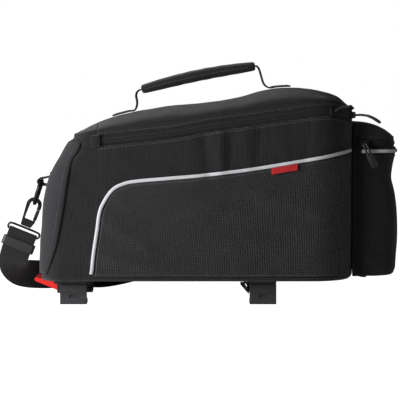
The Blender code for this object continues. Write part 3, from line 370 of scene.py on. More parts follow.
def x_at(along):
    return FRONT_X + along * BODY_LENGTH


def z_at(up):
    return BASE_Z + up * BODY_HEIGHT


def along_of(x):
    return (x - FRONT_X) / BODY_LENGTH


def up_of(z):
    return (z - BASE_Z) / BODY_HEIGHT


def zip_z(x):
    return z_at(smooth(ZIP_LINE, along_of(x)))


def lid_seam_z(x):
    return zip_z(x) + ZIP_BAND / 2 + GAP


def crest_z(x):
    return max(z_at(smooth(CREST, along_of(x))), lid_seam_z(x) + LID_EDGE)


def front_x(z):
    return x_at(smooth(FRONT_PROFILE, up_of(z)))


HOOD_FRONT_X = x_at(FRONT_PROFILE[-1][1])


def corner_weight(x, front):
    """1 on the flat of a side, falling to 0 where a corner turns to the front or rear."""
    into_front = (front + FRONT_CORNER_RADIUS - x) / FRONT_CORNER_RADIUS
    into_rear = (x - REAR_X + REAR_CORNER_RADIUS) / REAR_CORNER_RADIUS
    turned = min(max(into_front, into_rear, 0.0), 1.0)
    return math.sqrt(1.0 - turned**2)


def side_y(x, z):
    """Half-width of the bag's wall at a place along its side."""
    front = front_x(z)
    weight = corner_weight(x, front)
    radius = FRONT_CORNER_RADIUS if x < front + FRONT_CORNER_RADIUS else REAR_CORNER_RADIUS
    start = BASE_Z + SIDE_EDGE_RADIUS
    rise = min(max((z - start) / (zip_z(x) - start), 0.0), 1.0)
    return HALF_WIDTH - radius * (1.0 - weight) + SIDE_BULGE * weight * math.sin(math.pi * rise)


def side_point(x, z, side, lift):
    """Point held lift clear of the side wall. side is -1 near and +1 far."""
    tiny = 0.0002
    slope_x = (side_y(x + tiny, z) - side_y(x - tiny, z)) / (2 * tiny)
    slope_z = (side_y(x, z + tiny) - side_y(x, z - tiny)) / (2 * tiny)
    outward = Vector((-slope_x, 1.0, -slope_z)).normalized()
    point = Vector((x, side_y(x, z), z)) + outward * lift
    return Vector((point.x, side * point.y, point.z))


def side_outward(x, z, side):
    return (side_point(x, z, side, 1.0) - side_point(x, z, side, 0.0)).normalized()


def rear_wall_x(y):
    """The rear wall's surface at a distance from the centre plane."""
    into_corner = max(abs(y) - (HALF_WIDTH - REAR_CORNER_RADIUS), 0.0)
    return REAR_X - REAR_CORNER_RADIUS + math.sqrt(REAR_CORNER_RADIUS**2 - into_corner**2)


# Creases of the side walls and lid: start x, z and end x, z in millimetres, half-width,
# rise and side, which is -1 near, +1 far and 0 for both.
CREASES = (
    (36, 146, 40, 112, 5.0, -1.95, -1),
    (52, 148, 53, 118, 4.5, 1.95, -1),
    (64, 150, 62, 124, 4.0, -1.80, -1),
    (78, 152, 80, 120, 5.5, 1.20, -1),
    (92, 154, 90, 130, 5.0, -0.90, -1),
    (-101, 119, -84, 112, 3.0, -1.50, 0),
    (-104, 101, -80, 93, 3.2, 1.35, 0),
    (-100, 80, -84, 62, 4.0, -1.05, 0),
    (-70, 128, -40, 124, 5.0, 1.05, -1),
    (-30, 131, 10, 118, 6.0, -1.05, -1),
    (110, 150, 118, 128, 5.0, 1.05, 0),
    (140, 148, 136, 122, 5.0, -1.05, 0),
    (-60, 30, -20, 20, 7.0, 1.65, 0),
    (20, 24, 80, 34, 8.0, -1.65, 0),
    (95, 90, 150, 74, 8.0, 1.80, 0),
    (-40, 85, 30, 98, 9.0, 1.50, 0),
    (60, 60, 120, 48, 8.0, -1.50, 0),
    (-55, 62, -20, 40, 7.0, 1.50, 0),
    (0, 56, 45, 76, 8.0, 1.35, 0),
    (120, 30, 160, 44, 8.0, 1.35, 0),
    (30, 146, 55, 120, 5.0, 1.20, 1),
    (-50, 128, -20, 118, 5.0, -1.20, 1),
)
# Soft dents of the lid: centre x, y, half-length, half-width and rise in millimetres.
LID_DENTS = (
    (-8, -62, 12, 9, -1.1),
    (8, -66, 8, 6, 0.8),
    (96, -60, 14, 8, -1.0),
    (112, -52, 12, 9, 0.9),
    (60, -70, 16, 7, -0.7),
    (35, 45, 20, 14, -0.9),
    (120, 40, 18, 14, -0.9),
    (-30, 30, 16, 18, 0.6),
)
MILLIMETRE = 0.001
ROLL_SIZE = 0.055
ROLL_RISE = 0.0011
CRUMPLE_SIZE = 0.016
CRUMPLE_RISE = 0.00045
PUCKER_PITCH = 0.0105
PUCKER_RISE = 0.0007
PUCKER_REACH = 0.012
BASE_FADE = 0.016


def crease_rise(x, z, side):
    """Height of the creases at a place on a side wall."""
    rise = 0.0
    for start_x, start_z, end_x, end_z, wide, high, which in CREASES:
        if which and which != side:
            continue
        run_x, run_z = end_x - start_x, end_z - start_z
        length = math.hypot(run_x, run_z)
        from_x, from_z = x / MILLIMETRE - start_x, z / MILLIMETRE - start_z
        along = (from_x * run_x + from_z * run_z) / length
        off = (from_x * run_z - from_z * run_x) / length
        past = max(-along, along - length, 0.0)
        rise += high * math.exp(-((off / wide) ** 2) - (past / (wide * 1.6)) ** 2)
    return rise * MILLIMETRE


def cloth_rise(point):
    """How far the cloth stands off its plain shape at a place, from rolls, crumple and creases."""
    rolls = noise.noise(point / ROLL_SIZE) * ROLL_RISE
    crumple = noise.noise(point / CRUMPLE_SIZE + Vector((7, 3, 1))) * CRUMPLE_RISE
    rise = rolls + crumple
    side = -1 if point.y < 0 else 1
    flank = min(max((abs(point.y) - 0.060) / 0.015, 0.0), 1.0)
    if flank:
        rise += crease_rise(point.x, point.z, side) * flank
    below_zip = zip_z(point.x) - ZIP_BAND / 2 - point.z
    if point.x > HINGE_X and 0 <= below_zip < PUCKER_REACH * 2:
        fade = math.exp(-below_zip / PUCKER_REACH)
        rise += PUCKER_RISE * fade * math.sin(2 * math.pi * (point.x - point.y) / PUCKER_PITCH) * 0.5
    fade = min(max((point.z - BASE_Z) / BASE_FADE, 0.0), 1.0)
    rear = min(max((REAR_X - 0.006 - point.x) / 0.012, 0.0), 1.0)
    return rise * fade * rear


def lid_rise(point):
    """How far the lid's top stands off its plain shape."""
    rise = noise.noise(point / ROLL_SIZE + Vector((2, 9, 4))) * ROLL_RISE
    rise += noise.noise(point / CRUMPLE_SIZE) * CRUMPLE_RISE
    for x, y, long, wide, high in LID_DENTS:
        away = ((point.x / MILLIMETRE - x) / long) ** 2 + ((point.y / MILLIMETRE - y) / wide) ** 2
        rise += high * MILLIMETRE * math.exp(-away)
    above_seam = point.z - lid_seam_z(point.x)
    return rise * min(max(above_seam / 0.010, 0.0), 1.0)


# Shader groups and materials
def math_node(tree, operation, *values):
    made = tree.nodes.new("ShaderNodeMath")
    made.operation = operation
    for n, value in enumerate(values):
        if isinstance(value, (int, float)):
            made.inputs[n].default_value = value
        else:
            tree.links.new(value, made.inputs[n])
    return made.outputs[0]


def noise_node(tree, place, scale, detail=2.0, roughness=0.5):
    made = tree.nodes.new("ShaderNodeTexNoise")
    made.inputs["Scale"].default_value = scale
    made.inputs["Detail"].default_value = detail
    made.inputs["Roughness"].default_value = roughness
    tree.links.new(place, made.inputs["Vector"])
    return made.outputs["Fac"]


def new_group(name, inputs, outputs):
    tree = bpy.data.node_groups.new(name, "ShaderNodeTree")
    for label, kind, default in inputs:
        socket = tree.interface.new_socket(label, in_out="INPUT", socket_type="NodeSocket" + kind)
        if default is not None:
            socket.default_value = default
    for label, kind in outputs:
        tree.interface.new_socket(label, in_out="OUTPUT", socket_type="NodeSocket" + kind)
    return tree, tree.nodes.new("NodeGroupInput").outputs, tree.nodes.new("NodeGroupOutput").inputs


def make_weave_group():
    """Height of crossing threads over a cloth's own (u, v) place in metres."""
    tree, given, made = new_group(
        "Woven threads",
        (("Place", "Vector", None), ("Pitch", "Float", 0.001), ("Slant", "Float", 0.0)),
        (("Height", "Float"), ("Rib", "Float")),
    )
    split = tree.nodes.new("ShaderNodeSeparateXYZ")
    tree.links.new(given["Place"], split.inputs[0])
    turns = math_node(tree, "DIVIDE", 2 * math.pi, given["Pitch"])
    across = math_node(tree, "MULTIPLY", split.outputs["X"], turns)
    along = math_node(tree, "MULTIPLY", split.outputs["Y"], turns)
    lean = math_node(tree, "MULTIPLY", along, given["Slant"])
    warp = math_node(tree, "SINE", math_node(tree, "ADD", across, lean))
    lean_back = math_node(tree, "MULTIPLY", across, given["Slant"])
    weft = math_node(tree, "SINE", math_node(tree, "SUBTRACT", along, lean_back))
    crossing = math_node(tree, "MULTIPLY", warp, weft)
    tree.links.new(math_node(tree, "MULTIPLY_ADD", crossing, 0.5, 0.5), made["Height"])
    tree.links.new(math_node(tree, "MULTIPLY_ADD", warp, 0.5, 0.5), made["Rib"])
    return tree


def make_shade_group():
    """Colour of worn cloth: threads with painted shade in their hollows and painted light on their tops, uneven dye in
    streaks, and a little dust.
    """
    tree, given, made = new_group(
        "Cloth shade",
        (
            ("Place", "Vector", None),
            ("Weave", "Float", 0.5),
            ("Deep", "Color", (0.01, 0.01, 0.01, 1)),
            ("Lit", "Color", (0.03, 0.03, 0.03, 1)),
            ("Streaks", "Float", 0.3),
        ),
        (("Color", "Color"), ("Patch", "Float")),
    )
    squeeze = tree.nodes.new("ShaderNodeMapping")
    squeeze.inputs["Scale"].default_value = (1.0, 0.12, 1.0)
    tree.links.new(given["Place"], squeeze.inputs["Vector"])
    streak = noise_node(tree, squeeze.outputs[0], 420.0, 3.0)
    patch_mask = noise_node(tree, given["Place"], 26.0, 3.0)
    streak_part = math_node(tree, "MULTIPLY", math_node(tree, "SUBTRACT", streak, 0.5), given["Streaks"])
    patch_part = math_node(tree, "MULTIPLY_ADD", patch_mask, 0.5, -0.25)
    share = math_node(tree, "ADD", given["Weave"], math_node(tree, "ADD", streak_part, patch_part))
    held = tree.nodes.new("ShaderNodeClamp")
    tree.links.new(share, held.inputs["Value"])
    # Thread height mixes the darker colour into the lighter one: painted shade in the weave's hollows, painted light on
    # its raised threads.
    mix = tree.nodes.new("ShaderNodeMix")
    mix.data_type = "RGBA"
    tree.links.new(held.outputs[0], mix.inputs["Factor"])
    tree.links.new(given["Deep"], mix.inputs["A"])
    tree.links.new(given["Lit"], mix.inputs["B"])
    tree.links.new(mix.outputs["Result"], made["Color"])
    tree.links.new(patch_mask, made["Patch"])
    return tree


def make_moulded_group():
    """Fine grain and handling marks of moulded plastic and painted metal."""
    tree, given, made = new_group(
        "Moulded grain",
        (("Place", "Vector", None), ("Size", "Float", 0.0006), ("Marks", "Float", 0.2)),
        (("Height", "Float"), ("Marks", "Float")),
    )
    scale = math_node(tree, "DIVIDE", 1.0, given["Size"])
    grain = tree.nodes.new("ShaderNodeTexVoronoi")
    tree.links.new(given["Place"], grain.inputs["Vector"])
    tree.links.new(scale, grain.inputs["Scale"])
    rubbed = noise_node(tree, given["Place"], 90.0, 5.0, 0.65)
    tree.links.new(grain.outputs["Distance"], made["Height"])
    tree.links.new(math_node(tree, "MULTIPLY", rubbed, given["Marks"]), made["Marks"])
    return tree


GROUPS = {"weave": make_weave_group(), "shade": make_shade_group(), "moulded": make_moulded_group()}


def place_group(tree, key, **values):
    made = tree.nodes.new("ShaderNodeGroup")
    made.node_tree = GROUPS[key]
    for label, value in values.items():
        if isinstance(value, bpy.types.NodeSocket):
            tree.links.new(value, made.inputs[label])
        else:
            made.inputs[label].default_value = value
    return made.outputs


def start_material(name):
    made = bpy.data.materials.new(name)
    made.use_nodes = True
    return made, made.node_tree, made.node_tree.nodes["Principled BSDF"]


def bump(tree, shader, height, depth):
    made = tree.nodes.new("ShaderNodeBump")
    made.inputs["Distance"].default_value = depth
    tree.links.new(height, made.inputs["Height"])
    tree.links.new(made.outputs[0], shader.inputs["Normal"])


def rough_range(tree, shader, mask, low, high):
    spread = math_node(tree, "MULTIPLY_ADD", mask, high - low, low)
    tree.links.new(spread, shader.inputs["Roughness"])


def cloth_material(name, shaded, lit, pitch, slant=0.0, depth=0.0003, streaks=0.3, sheen=0.25, rib=False):
    made, tree, shader = start_material(name)
    place = tree.nodes.new("ShaderNodeUVMap")
    place.uv_map = "cloth"
    weave = place_group(tree, "weave", Place=place.outputs[0], Pitch=pitch, Slant=slant)
    # The thread height drives the bump and also paints shade in the weave's hollows and light on its raised threads.
    height = weave["Rib" if rib else "Height"]
    shade = place_group(
        tree,
        "shade",
        Place=place.outputs[0],
        Weave=height,
        Deep=(*shaded, 1.0),
        Lit=(*lit, 1.0),
        Streaks=streaks,
    )
    tree.links.new(shade["Color"], shader.inputs["Base Color"])
    rough_range(tree, shader, shade["Patch"], 0.72, 0.95)
    bump(tree, shader, height, depth)
    shader.inputs["Specular IOR Level"].default_value = 0.35
    shader.inputs["Sheen Weight"].default_value = sheen
    shader.inputs["Sheen Roughness"].default_value = 0.45
    return made


def moulded_material(name, colour, rough, size=0.0006, depth=0.00004, metallic=0.0, coat=0.0):
    made, tree, shader = start_material(name)
    place = tree.nodes.new("ShaderNodeTexCoord").outputs["Object"]
    grain = place_group(tree, "moulded", Place=place, Size=size, Marks=0.5)
    tint = tree.nodes.new("ShaderNodeMix")
    tint.data_type = "RGBA"
    tint.inputs["A"].default_value = (*colour, 1.0)
    tint.inputs["B"].default_value = (*(c * 1.6 + 0.01 for c in colour), 1.0)
    tree.links.new(grain["Marks"], tint.inputs["Factor"])
    tree.links.new(tint.outputs["Result"], shader.inputs["Base Color"])
    rough_range(tree, shader, grain["Marks"], rough, rough + 0.3)
    bump(tree, shader, grain["Height"], depth)
    shader.inputs["Metallic"].default_value = metallic
    shader.inputs["Coat Weight"].default_value = coat
    return made


# Each cloth's first colour is painted shade of its weave's hollows and the second is painted light on its raised
# threads.
PAINT = {
    "body_cloth": cloth_material("body_cloth", (0.002, 0.002, 0.003), (0.022, 0.022, 0.024), 0.0026, 1.0, 0.0005, 0.8),
    "ribbed_cloth": cloth_material("ribbed_cloth", (0.001, 0.001, 0.0015), (0.048, 0.048, 0.051), 0.0034, 1.0, 0.0014, 0.5),
    "front_cloth": cloth_material("front_cloth", (0.012, 0.0115, 0.013), (0.032, 0.031, 0.035), 0.0022, 1.0, 0.0002, 0.5, 0.25),
    "webbing": cloth_material("webbing", (0.006, 0.006, 0.007), (0.024, 0.024, 0.026), 0.0022, 0.5, 0.0004, 0.3, rib=True),
    "grip_cloth": cloth_material("grip_cloth", (0.007, 0.007, 0.008), (0.022, 0.022, 0.024), 0.0014, 0.0, 0.0003, 0.5),
    "zip_tape": cloth_material("zip_tape", (0.005, 0.005, 0.006), (0.016, 0.016, 0.018), 0.0014, 0.0, 0.0003, 0.2, rib=True),
    "thread": cloth_material("thread", (0.040, 0.040, 0.043), (0.110, 0.110, 0.116), 0.0008, 1.0, 0.0001, 0.2),
    "reflective": cloth_material("reflective", (0.50, 0.51, 0.53), (0.86, 0.87, 0.90), 0.0016, 0.0, 0.0002, 0.3, 0.1),
    "red_label": cloth_material("red_label", (0.42, 0.012, 0.014), (0.72, 0.030, 0.032), 0.0007, 0.0, 0.0001, 0.2, 0.1),
    "black_metal": moulded_material("black_metal", (0.018, 0.018, 0.019), 0.28, 0.0012, 0.00002, 0.6),
    "black_plastic": moulded_material("black_plastic", (0.014, 0.014, 0.015), 0.38),
    "grey_plastic": moulded_material("grey_plastic", (0.030, 0.030, 0.033), 0.42, 0.0008),
    "red_plastic": moulded_material("red_plastic", (0.80, 0.016, 0.012), 0.25, 0.0010, 0.00002, 0.0, 0.3),
}


# Making pieces
def dress(piece, surface, replaced=(), body="bag"):
    piece.data.materials.append(PAINT[surface])
    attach(piece, body)
    if replaced:
        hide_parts(*replaced)
    return piece


def mesh_piece(name, points, faces, places, sharp=50):
    """Object from points, faces and a (u, v) place in metres for each face corner."""
    mesh = bpy.data.meshes.new(name)
    mesh.from_pydata([tuple(point) for point in points], [], faces)
    layer = mesh.uv_layers.new(name="cloth")
    for face, corners in zip(mesh.polygons, places):
        for loop, place in zip(face.loop_indices, corners):
            layer.data[loop].uv = place
    mesh.shade_smooth()
    mesh.set_sharp_from_angle(angle=math.radians(sharp))
    made = bpy.data.objects.new(name, mesh)
    bpy.context.collection.objects.link(made)
    return made


def thicken(piece, wall, outward=False):
    layer = piece.modifiers.new("Cloth thickness", "SOLIDIFY")
    layer.thickness = wall
    layer.offset = 1.0 if outward else -1.0
    return piece


def cell_piece(name, cells, place, spot, rise=None):
    """Cloth over cells of grid keys. spot gives a key's (u, v), and rise how far it stands proud."""
    keys = list(dict.fromkeys(corner for cell in cells for corner in cell))
    number = {key: n for n, key in enumerate(keys)}
    points = [place(key) for key in keys]
    faces = [[number[corner] for corner in cell] for cell in cells]
    places = [[spot(corner, cell) for corner in cell] for cell in cells]
    made = mesh_piece(name, points, faces, places)
    if rise:
        normals = [vertex.normal.copy() for vertex in made.data.vertices]
        for vertex, normal in zip(made.data.vertices, normals):
            vertex.co += normal * rise(vertex.co)
    return made


def grid_piece(name, rows, wall, outward=True, around=False):
    """Cloth over a grid of points, rows upward and columns anticlockwise."""
    count = len(rows[0])
    reach = [0.0]
    middle = rows[len(rows) // 2]
    for here, there in zip(middle, middle[1:] + middle[:1]):
        reach.append(reach[-1] + (there - here).length)
    climb = [0.0]
    for low, high in zip(rows, rows[1:]):
        climb.append(climb[-1] + sum((b - a).length for a, b in zip(low, high)) / count)
    faces, places = [], []
    for r in range(len(rows) - 1):
        for c in range(count if around else count - 1):
            nxt = (c + 1) % count
            faces.append((r * count + c, r * count + nxt, (r + 1) * count + nxt, (r + 1) * count + c))
            left, right = reach[c], reach[c + 1]
            low, high = climb[r], climb[r + 1]
            places.append(((left, low), (right, low), (right, high), (left, high)))
    made = mesh_piece(name, [point for row in rows for point in row], faces, places)
    return thicken(made, wall, outward) if wall else made


def round_section(sides):
    step = 2 * math.pi / sides
    return tuple((math.cos(n * step), math.sin(n * step)) for n in range(sides))


def sweep(name, stations, section, closed=False, sharp=50):
    """Solid along stations of (centre, width direction, half-width, half-thickness)."""
    count, size = len(stations), len(section)
    points, run = [], [0.0]
    for n, (centre, across, half_width, half_thickness) in enumerate(stations):
        after = stations[(n + 1) % count if closed else min(n + 1, count - 1)][0]
        before = stations[n - 1 if closed or n else 0][0]
        travel = (after - before).normalized()
        across = (across - travel * across.dot(travel)).normalized()
        normal = travel.cross(across).normalized()
        points += [centre + across * (a * half_width) + normal * (b * half_thickness) for a, b in section]
        run.append(run[-1] + (stations[(n + 1) % count][0] - centre).length)
    half_width = stations[count // 2][2]
    span = [a * half_width for a, b in section]
    faces, places = [], []
    for n in range(count if closed else count - 1):
        here, there = n * size, (n + 1) % count * size
        for m in range(size):
            nxt = (m + 1) % size
            faces.append((here + m, here + nxt, there + nxt, there + m))
            low, high = run[n], run[n + 1]
            places.append(((span[m], low), (span[nxt], low), (span[nxt], high), (span[m], high)))
    if not closed:
        for start in (0, (count - 1) * size):
            faces.append(tuple(range(start, start + size)))
            places.append(tuple((a * half_width, b * MILLIMETRE) for a, b in section))
    made = mesh_piece(name, points, faces, places, sharp)
    work = bmesh.new()
    work.from_mesh(made.data)
    bmesh.ops.recalc_face_normals(work, faces=work.faces)
    work.to_mesh(made.data)
    work.free()
    return made


WEBBING_SECTION = (
    (-1.0, -0.35), (-0.97, -0.85), (-0.90, -1.0), (-0.45, -0.92), (0.0, -0.90), (0.45, -0.92), (0.90, -1.0),
    (0.97, -0.85), (1.0, -0.35), (1.0, 0.35), (0.97, 0.85), (0.90, 1.0), (0.45, 0.92), (0.0, 0.90),
    (-0.45, 0.92), (-0.90, 1.0), (-0.97, 0.85), (-1.0, 0.35),
)

STITCH_PITCH = 0.0034
STITCH_SHARE = 0.66
STITCH_WIDE = 0.00042
STITCH_HIGH = 0.00028


def stitches(name, runs, replaced=()):
    """Dashes of thread along runs of (point, normal) rows."""
    points, faces, places = [], [], []
    for run in runs:
        travelled = [0.0]
        for here, there in zip(run, run[1:]):
            travelled.append(travelled[-1] + (there[0] - here[0]).length)

        def at(distance):
            n = min(max(m for m in range(len(run) - 1) if travelled[m] <= distance), len(run) - 2)
            span = max(travelled[n + 1] - travelled[n], 1e-9)
            share = (distance - travelled[n]) / span
            return run[n][0].lerp(run[n + 1][0], share), run[n][1].lerp(run[n + 1][1], share).normalized()

        for n in range(int(travelled[-1] / STITCH_PITCH)):
            start = at((n + 0.1) * STITCH_PITCH)
            end = at((n + 0.1 + STITCH_SHARE) * STITCH_PITCH)
            travel = (end[0] - start[0]).normalized()
            normal = start[1]
            across = normal.cross(travel).normalized()
            first = len(points)
            for share, full in ((0.0, 0.35), (0.2, 1.0), (0.8, 1.0), (1.0, 0.35)):
                centre = start[0].lerp(end[0], share)
                for a, b in ((-1, 0), (0, -1), (1, 0), (0, 1)):
                    points.append(centre + across * a * full * STITCH_WIDE + normal * b * full * STITCH_HIGH)
            for ring in range(3):
                for m in range(4):
                    nxt = (m + 1) % 4
                    low, high = first + ring * 4, first + ring * 4 + 4
                    faces.append((low + m, low + nxt, high + nxt, high + m))
                    places.append(tuple((m * MILLIMETRE, k * MILLIMETRE) for k in range(4)))
            faces += [tuple(first + m for m in (3, 2, 1, 0)), tuple(first + 12 + m for m in range(4))]
            places += [((0, 0),) * 4, ((0, 0),) * 4]
    made = mesh_piece(name, points, faces, places, 80)
    return dress(made, "thread", replaced)


# Main bag
LID_STEPS = 30
SIDE_STATIONS = 66
FRONT_TURNS = [math.radians(turn) for turn in range(0, 91, 9)]
REAR_TURNS = [math.radians(turn) for turn in range(0, 91, 5)]
SLIDES = (0.2, 0.4, 0.6, 0.8)
WALL_ROWS = 34
EDGE_ROWS = 6
CROWN_FALL = 2.8


def plan_stations():
    """Cross lines of the bag from front to rear, as (kind, value)."""
    near_hinge = [("side", HINGE_X - GAP / 2), ("side", HINGE_X + GAP / 2)]
    straight = REAR_X - REAR_CORNER_RADIUS - HINGE_X
    side = [("side", HINGE_X + straight * n / SIDE_STATIONS) for n in range(1, SIDE_STATIONS)]
    return (
        [("front", turn) for turn in FRONT_TURNS]
        + [("slide", share) for share in SLIDES]
        + near_hinge
        + side
        + [("rear", turn) for turn in REAR_TURNS]
    )


STATIONS = plan_stations()
HINGE_STATION = STATIONS.index(("side", HINGE_X - GAP / 2))
LAST = len(STATIONS) - 1


def cross_line(station, front, inset):
    """X and half-width of a cross line, set in from the outline by inset."""
    kind, value = station
    if kind == "front":
        reach = FRONT_CORNER_RADIUS - inset
        turn_x = front + FRONT_CORNER_RADIUS - reach * math.cos(value)
        return turn_x, HALF_WIDTH - FRONT_CORNER_RADIUS + reach * math.sin(value)
    if kind == "rear":
        reach = REAR_CORNER_RADIUS - inset
        turn_x = REAR_X - REAR_CORNER_RADIUS + reach * math.sin(value)
        return turn_x, HALF_WIDTH - REAR_CORNER_RADIUS + reach * math.cos(value)
    if kind == "slide":
        start = front + FRONT_CORNER_RADIUS
        return start + value * (HINGE_X - start), HALF_WIDTH - inset
    return value, HALF_WIDTH - inset


def across_share(j):
    """Share of the half-width, close together near the lid's rolled edges."""
    turn = math.pi * (j / LID_STEPS - 0.5)
    return math.copysign(abs(math.sin(turn)) ** (2 / LID_ROUNDNESS), turn)


def edge_radius(station):
    kind, value = station
    turned = math.sin(value) if kind == "front" else 1.0
    return FRONT_EDGE_RADIUS + (SIDE_EDGE_RADIUS - FRONT_EDGE_RADIUS) * turned


def level_table():
    """Rows of the wall from the base to the lid's seam, as (kind, value)."""
    edge = [("edge", math.pi / 2 * n / EDGE_ROWS) for n in range(EDGE_ROWS + 1)]
    wall = [("wall", (n + 1) / WALL_ROWS) for n in range(WALL_ROWS)]
    band = [("band", -ZIP_BAND / 2), ("band", ZIP_BAND / 2)]
    return edge + wall + band + [("seam", 0.0), ("lid", 0.0)]


LEVELS = level_table()
WALL_TOP = LEVELS.index(("wall", 1.0))
BAND_LOW = WALL_TOP + 1
LID_SEAM = BAND_LOW + 2
TOP = len(LEVELS) - 1


def bag_point(key):
    """Place of a grid key (level, cross line, step across)."""
    level, i, j = key
    station = STATIONS[i]
    share = across_share(j)
    seam_x, seam_half = cross_line(station, HOOD_FRONT_X, 0.0)
    kind, value = LEVELS[level]
    radius = edge_radius(station)
    if kind == "lid":
        fall = (1.0 - min(abs(share), 1.0) ** LID_ROUNDNESS) ** (1 / LID_ROUNDNESS)
        edge = lid_seam_z(seam_x) + LID_EDGE
        return Vector((seam_x, share * seam_half, edge + (crest_z(seam_x) - edge) * fall))
    if kind == "seam":
        return Vector((seam_x, share * seam_half, lid_seam_z(seam_x)))
    if kind == "edge":
        inset = radius * (1.0 - math.sin(value))
        z = BASE_Z + radius * (1.0 - math.cos(value))
        x, half = cross_line(station, front_x(z), inset)
        return Vector((x, share * half, z))
    if kind == "band":
        z = zip_z(seam_x) + value
        x, half = cross_line(station, front_x(z), 0.0)
        return Vector((x, share * half, z))
    low = BASE_Z + radius
    z = low + value * (zip_z(seam_x) - ZIP_BAND / 2 - GAP - low)
    x, half = cross_line(station, front_x(z), 0.0)
    if i not in (0, LAST):
        half = side_y(x, z)
    return Vector((x, share * half, z))


def rim_keys():
    """Grid places round the plan outline, anticlockwise from the near front."""
    near = [(i, 0) for i in range(LAST)]
    rear = [(LAST, j) for j in range(LID_STEPS)]
    far = [(i, LID_STEPS) for i in range(LAST, 0, -1)]
    front = [(0, j) for j in range(LID_STEPS, 0, -1)]
    return near + rear + far + front


def wall_cells(low, high, belongs):
    rim = rim_keys()
    cells = []
    for level in range(low, high):
        for here, there in zip(rim, rim[1:] + rim[:1]):
            if belongs(here[0], there[0]):
                cells.append(((level, *here), (level, *there), (level + 1, *there), (level + 1, *here)))
    return cells


def flat_cells(level, first, last, upward):
    cells = []
    for i in range(first, last):
        for j in range(LID_STEPS):
            cell = ((level, i, j), (level, i + 1, j), (level, i + 1, j + 1), (level, i, j + 1))
            cells.append(cell if upward else cell[::-1])
    return cells


RIM_PLACE = {}


def measure_rim():
    """Distance round the plan outline to each of its grid places."""
    walked = 0.0
    rim = rim_keys()
    level = WALL_TOP // 2
    for here, there in zip(rim, rim[1:] + rim[:1]):
        RIM_PLACE[here] = walked
        walked += (bag_point((level, *there)) - bag_point((level, *here))).length
    return walked


RIM_LENGTH = measure_rim()


def bag_spot(key, cell):
    """Cloth's (u, v) place of a corner: round the wall and up, or straight down on flats."""
    point = bag_point(key)
    if len({corner[0] for corner in cell}) == 1:
        return point.x, point.y
    u = RIM_PLACE[key[1:]]
    if u < RIM_LENGTH / 8 and any(RIM_PLACE[corner[1:]] > RIM_LENGTH * 0.75 for corner in cell):
        u += RIM_LENGTH
    return u, point.z


def make_main_bag():
    def in_front(here, there):
        return max(here, there) <= HINGE_STATION

    def behind(here, there):
        return min(here, there) > HINGE_STATION

    def rise(point):
        return lid_rise(point) if point.z > lid_seam_z(point.x) + LID_EDGE / 2 else cloth_rise(point)

    shell = flat_cells(0, 0, LAST, upward=False)
    shell += wall_cells(0, WALL_TOP, lambda here, there: True)
    shell += wall_cells(WALL_TOP, TOP, in_front)
    shell += flat_cells(TOP, 0, HINGE_STATION, upward=True)
    body = cell_piece("bag_body_cloth", shell, bag_point, bag_spot, rise)
    dress(thicken(body, SHELL_WALL), "body_cloth", ["body_shell"])
    lid = wall_cells(LID_SEAM, TOP, behind) + flat_cells(TOP, HINGE_STATION + 1, LAST, upward=True)
    cover = cell_piece("lid_cloth", lid, bag_point, bag_spot, rise)
    dress(thicken(cover, SHELL_WALL), "body_cloth", ["lid"])


def rim_run(height, lift):
    """Line round the bag from the near hinge by the rear to the far hinge, with its normals."""
    line = []
    for i, j in rim_keys():
        if i <= HINGE_STATION + 1 and i != 0 and i < HINGE_STATION:
            continue
        if i <= HINGE_STATION:
            continue
        seam_x, seam_half = cross_line(STATIONS[i], HOOD_FRONT_X, 0.0)
        z = zip_z(seam_x) + height
        x, half = cross_line(STATIONS[i], front_x(z), 0.0)
        line.append(Vector((x, across_share(j) * half, z)))
    run = []
    for n, point in enumerate(line):
        travel = line[min(n + 1, len(line) - 1)] - line[max(n - 1, 0)]
        outward = travel.cross(Vector((0, 0, 1))).normalized()
        run.append((point + outward * lift, outward))
    return run


# Zip seen end on: height from its middle and how far it stands out, in millimetres.
ZIP_PROFILE = (
    (-5.0, 0.0), (-3.4, 0.1), (-3.2, 0.3), (-1.9, 0.35), (-1.6, 0.2), (-1.5, 0.9), (-1.1, 1.3), (-0.5, 1.2),
    (-0.1, 0.5), (0.1, 0.5), (0.5, 1.2), (1.1, 1.3), (1.5, 0.9), (1.6, 0.2), (1.9, 0.35), (3.2, 0.3),
    (3.4, 0.1), (5.0, 0.0),
)
TOOTH_PITCH = 0.0021
TOOTH_DEPTH = 0.00045


def fine_run(run, step):
    """The same line with a point every step."""
    made = []
    left = 0.0
    for (here, out_here), (there, out_there) in zip(run, run[1:]):
        span = (there - here).length
        while left < span:
            share = left / span
            made.append((here.lerp(there, share), out_here.lerp(out_there, share).normalized()))
            left += step
        left -= span
    made.append(run[-1])
    return made


def zip_rows(run, share):
    """Rows of a closed zip along a line, with its coil's teeth in two raised lines."""
    rows = []
    for height, out in ZIP_PROFILE:
        row = []
        for n, (point, outward) in enumerate(run):
            tooth = TOOTH_DEPTH * (n % 2) if out > 1.0 else 0.0
            row.append(point + outward * (out * MILLIMETRE * share - tooth) + Vector((0, 0, height * MILLIMETRE)))
        rows.append(row)
    return rows


def make_main_zip():
    run = fine_run(rim_run(0.0, -ZIP_WALL / 4), TOOTH_PITCH / 2)
    tape = grid_piece("main_zip_closed", zip_rows(run, 1.0), ZIP_WALL / 2, outward=False)
    dress(tape, "zip_tape", ["main_zip"])
    below = rim_run(-ZIP_BAND / 2 - 0.0032, 0.0006)
    above = rim_run(ZIP_BAND / 2 + 0.0020, 0.0003)
    below = [(point + normal * cloth_rise(point), normal) for point, normal in below]
    stitches("zip_topstitch", [fine_run(below, 0.002), fine_run(above, 0.002)])


# Front panel, side panels, piping and label
def skin_point(x, z, side, lift):
    """Point lift clear of the side wall's creased cloth."""
    base = side_point(x, z, side, 0.0)
    return side_point(x, z, side, lift + cloth_rise(base))


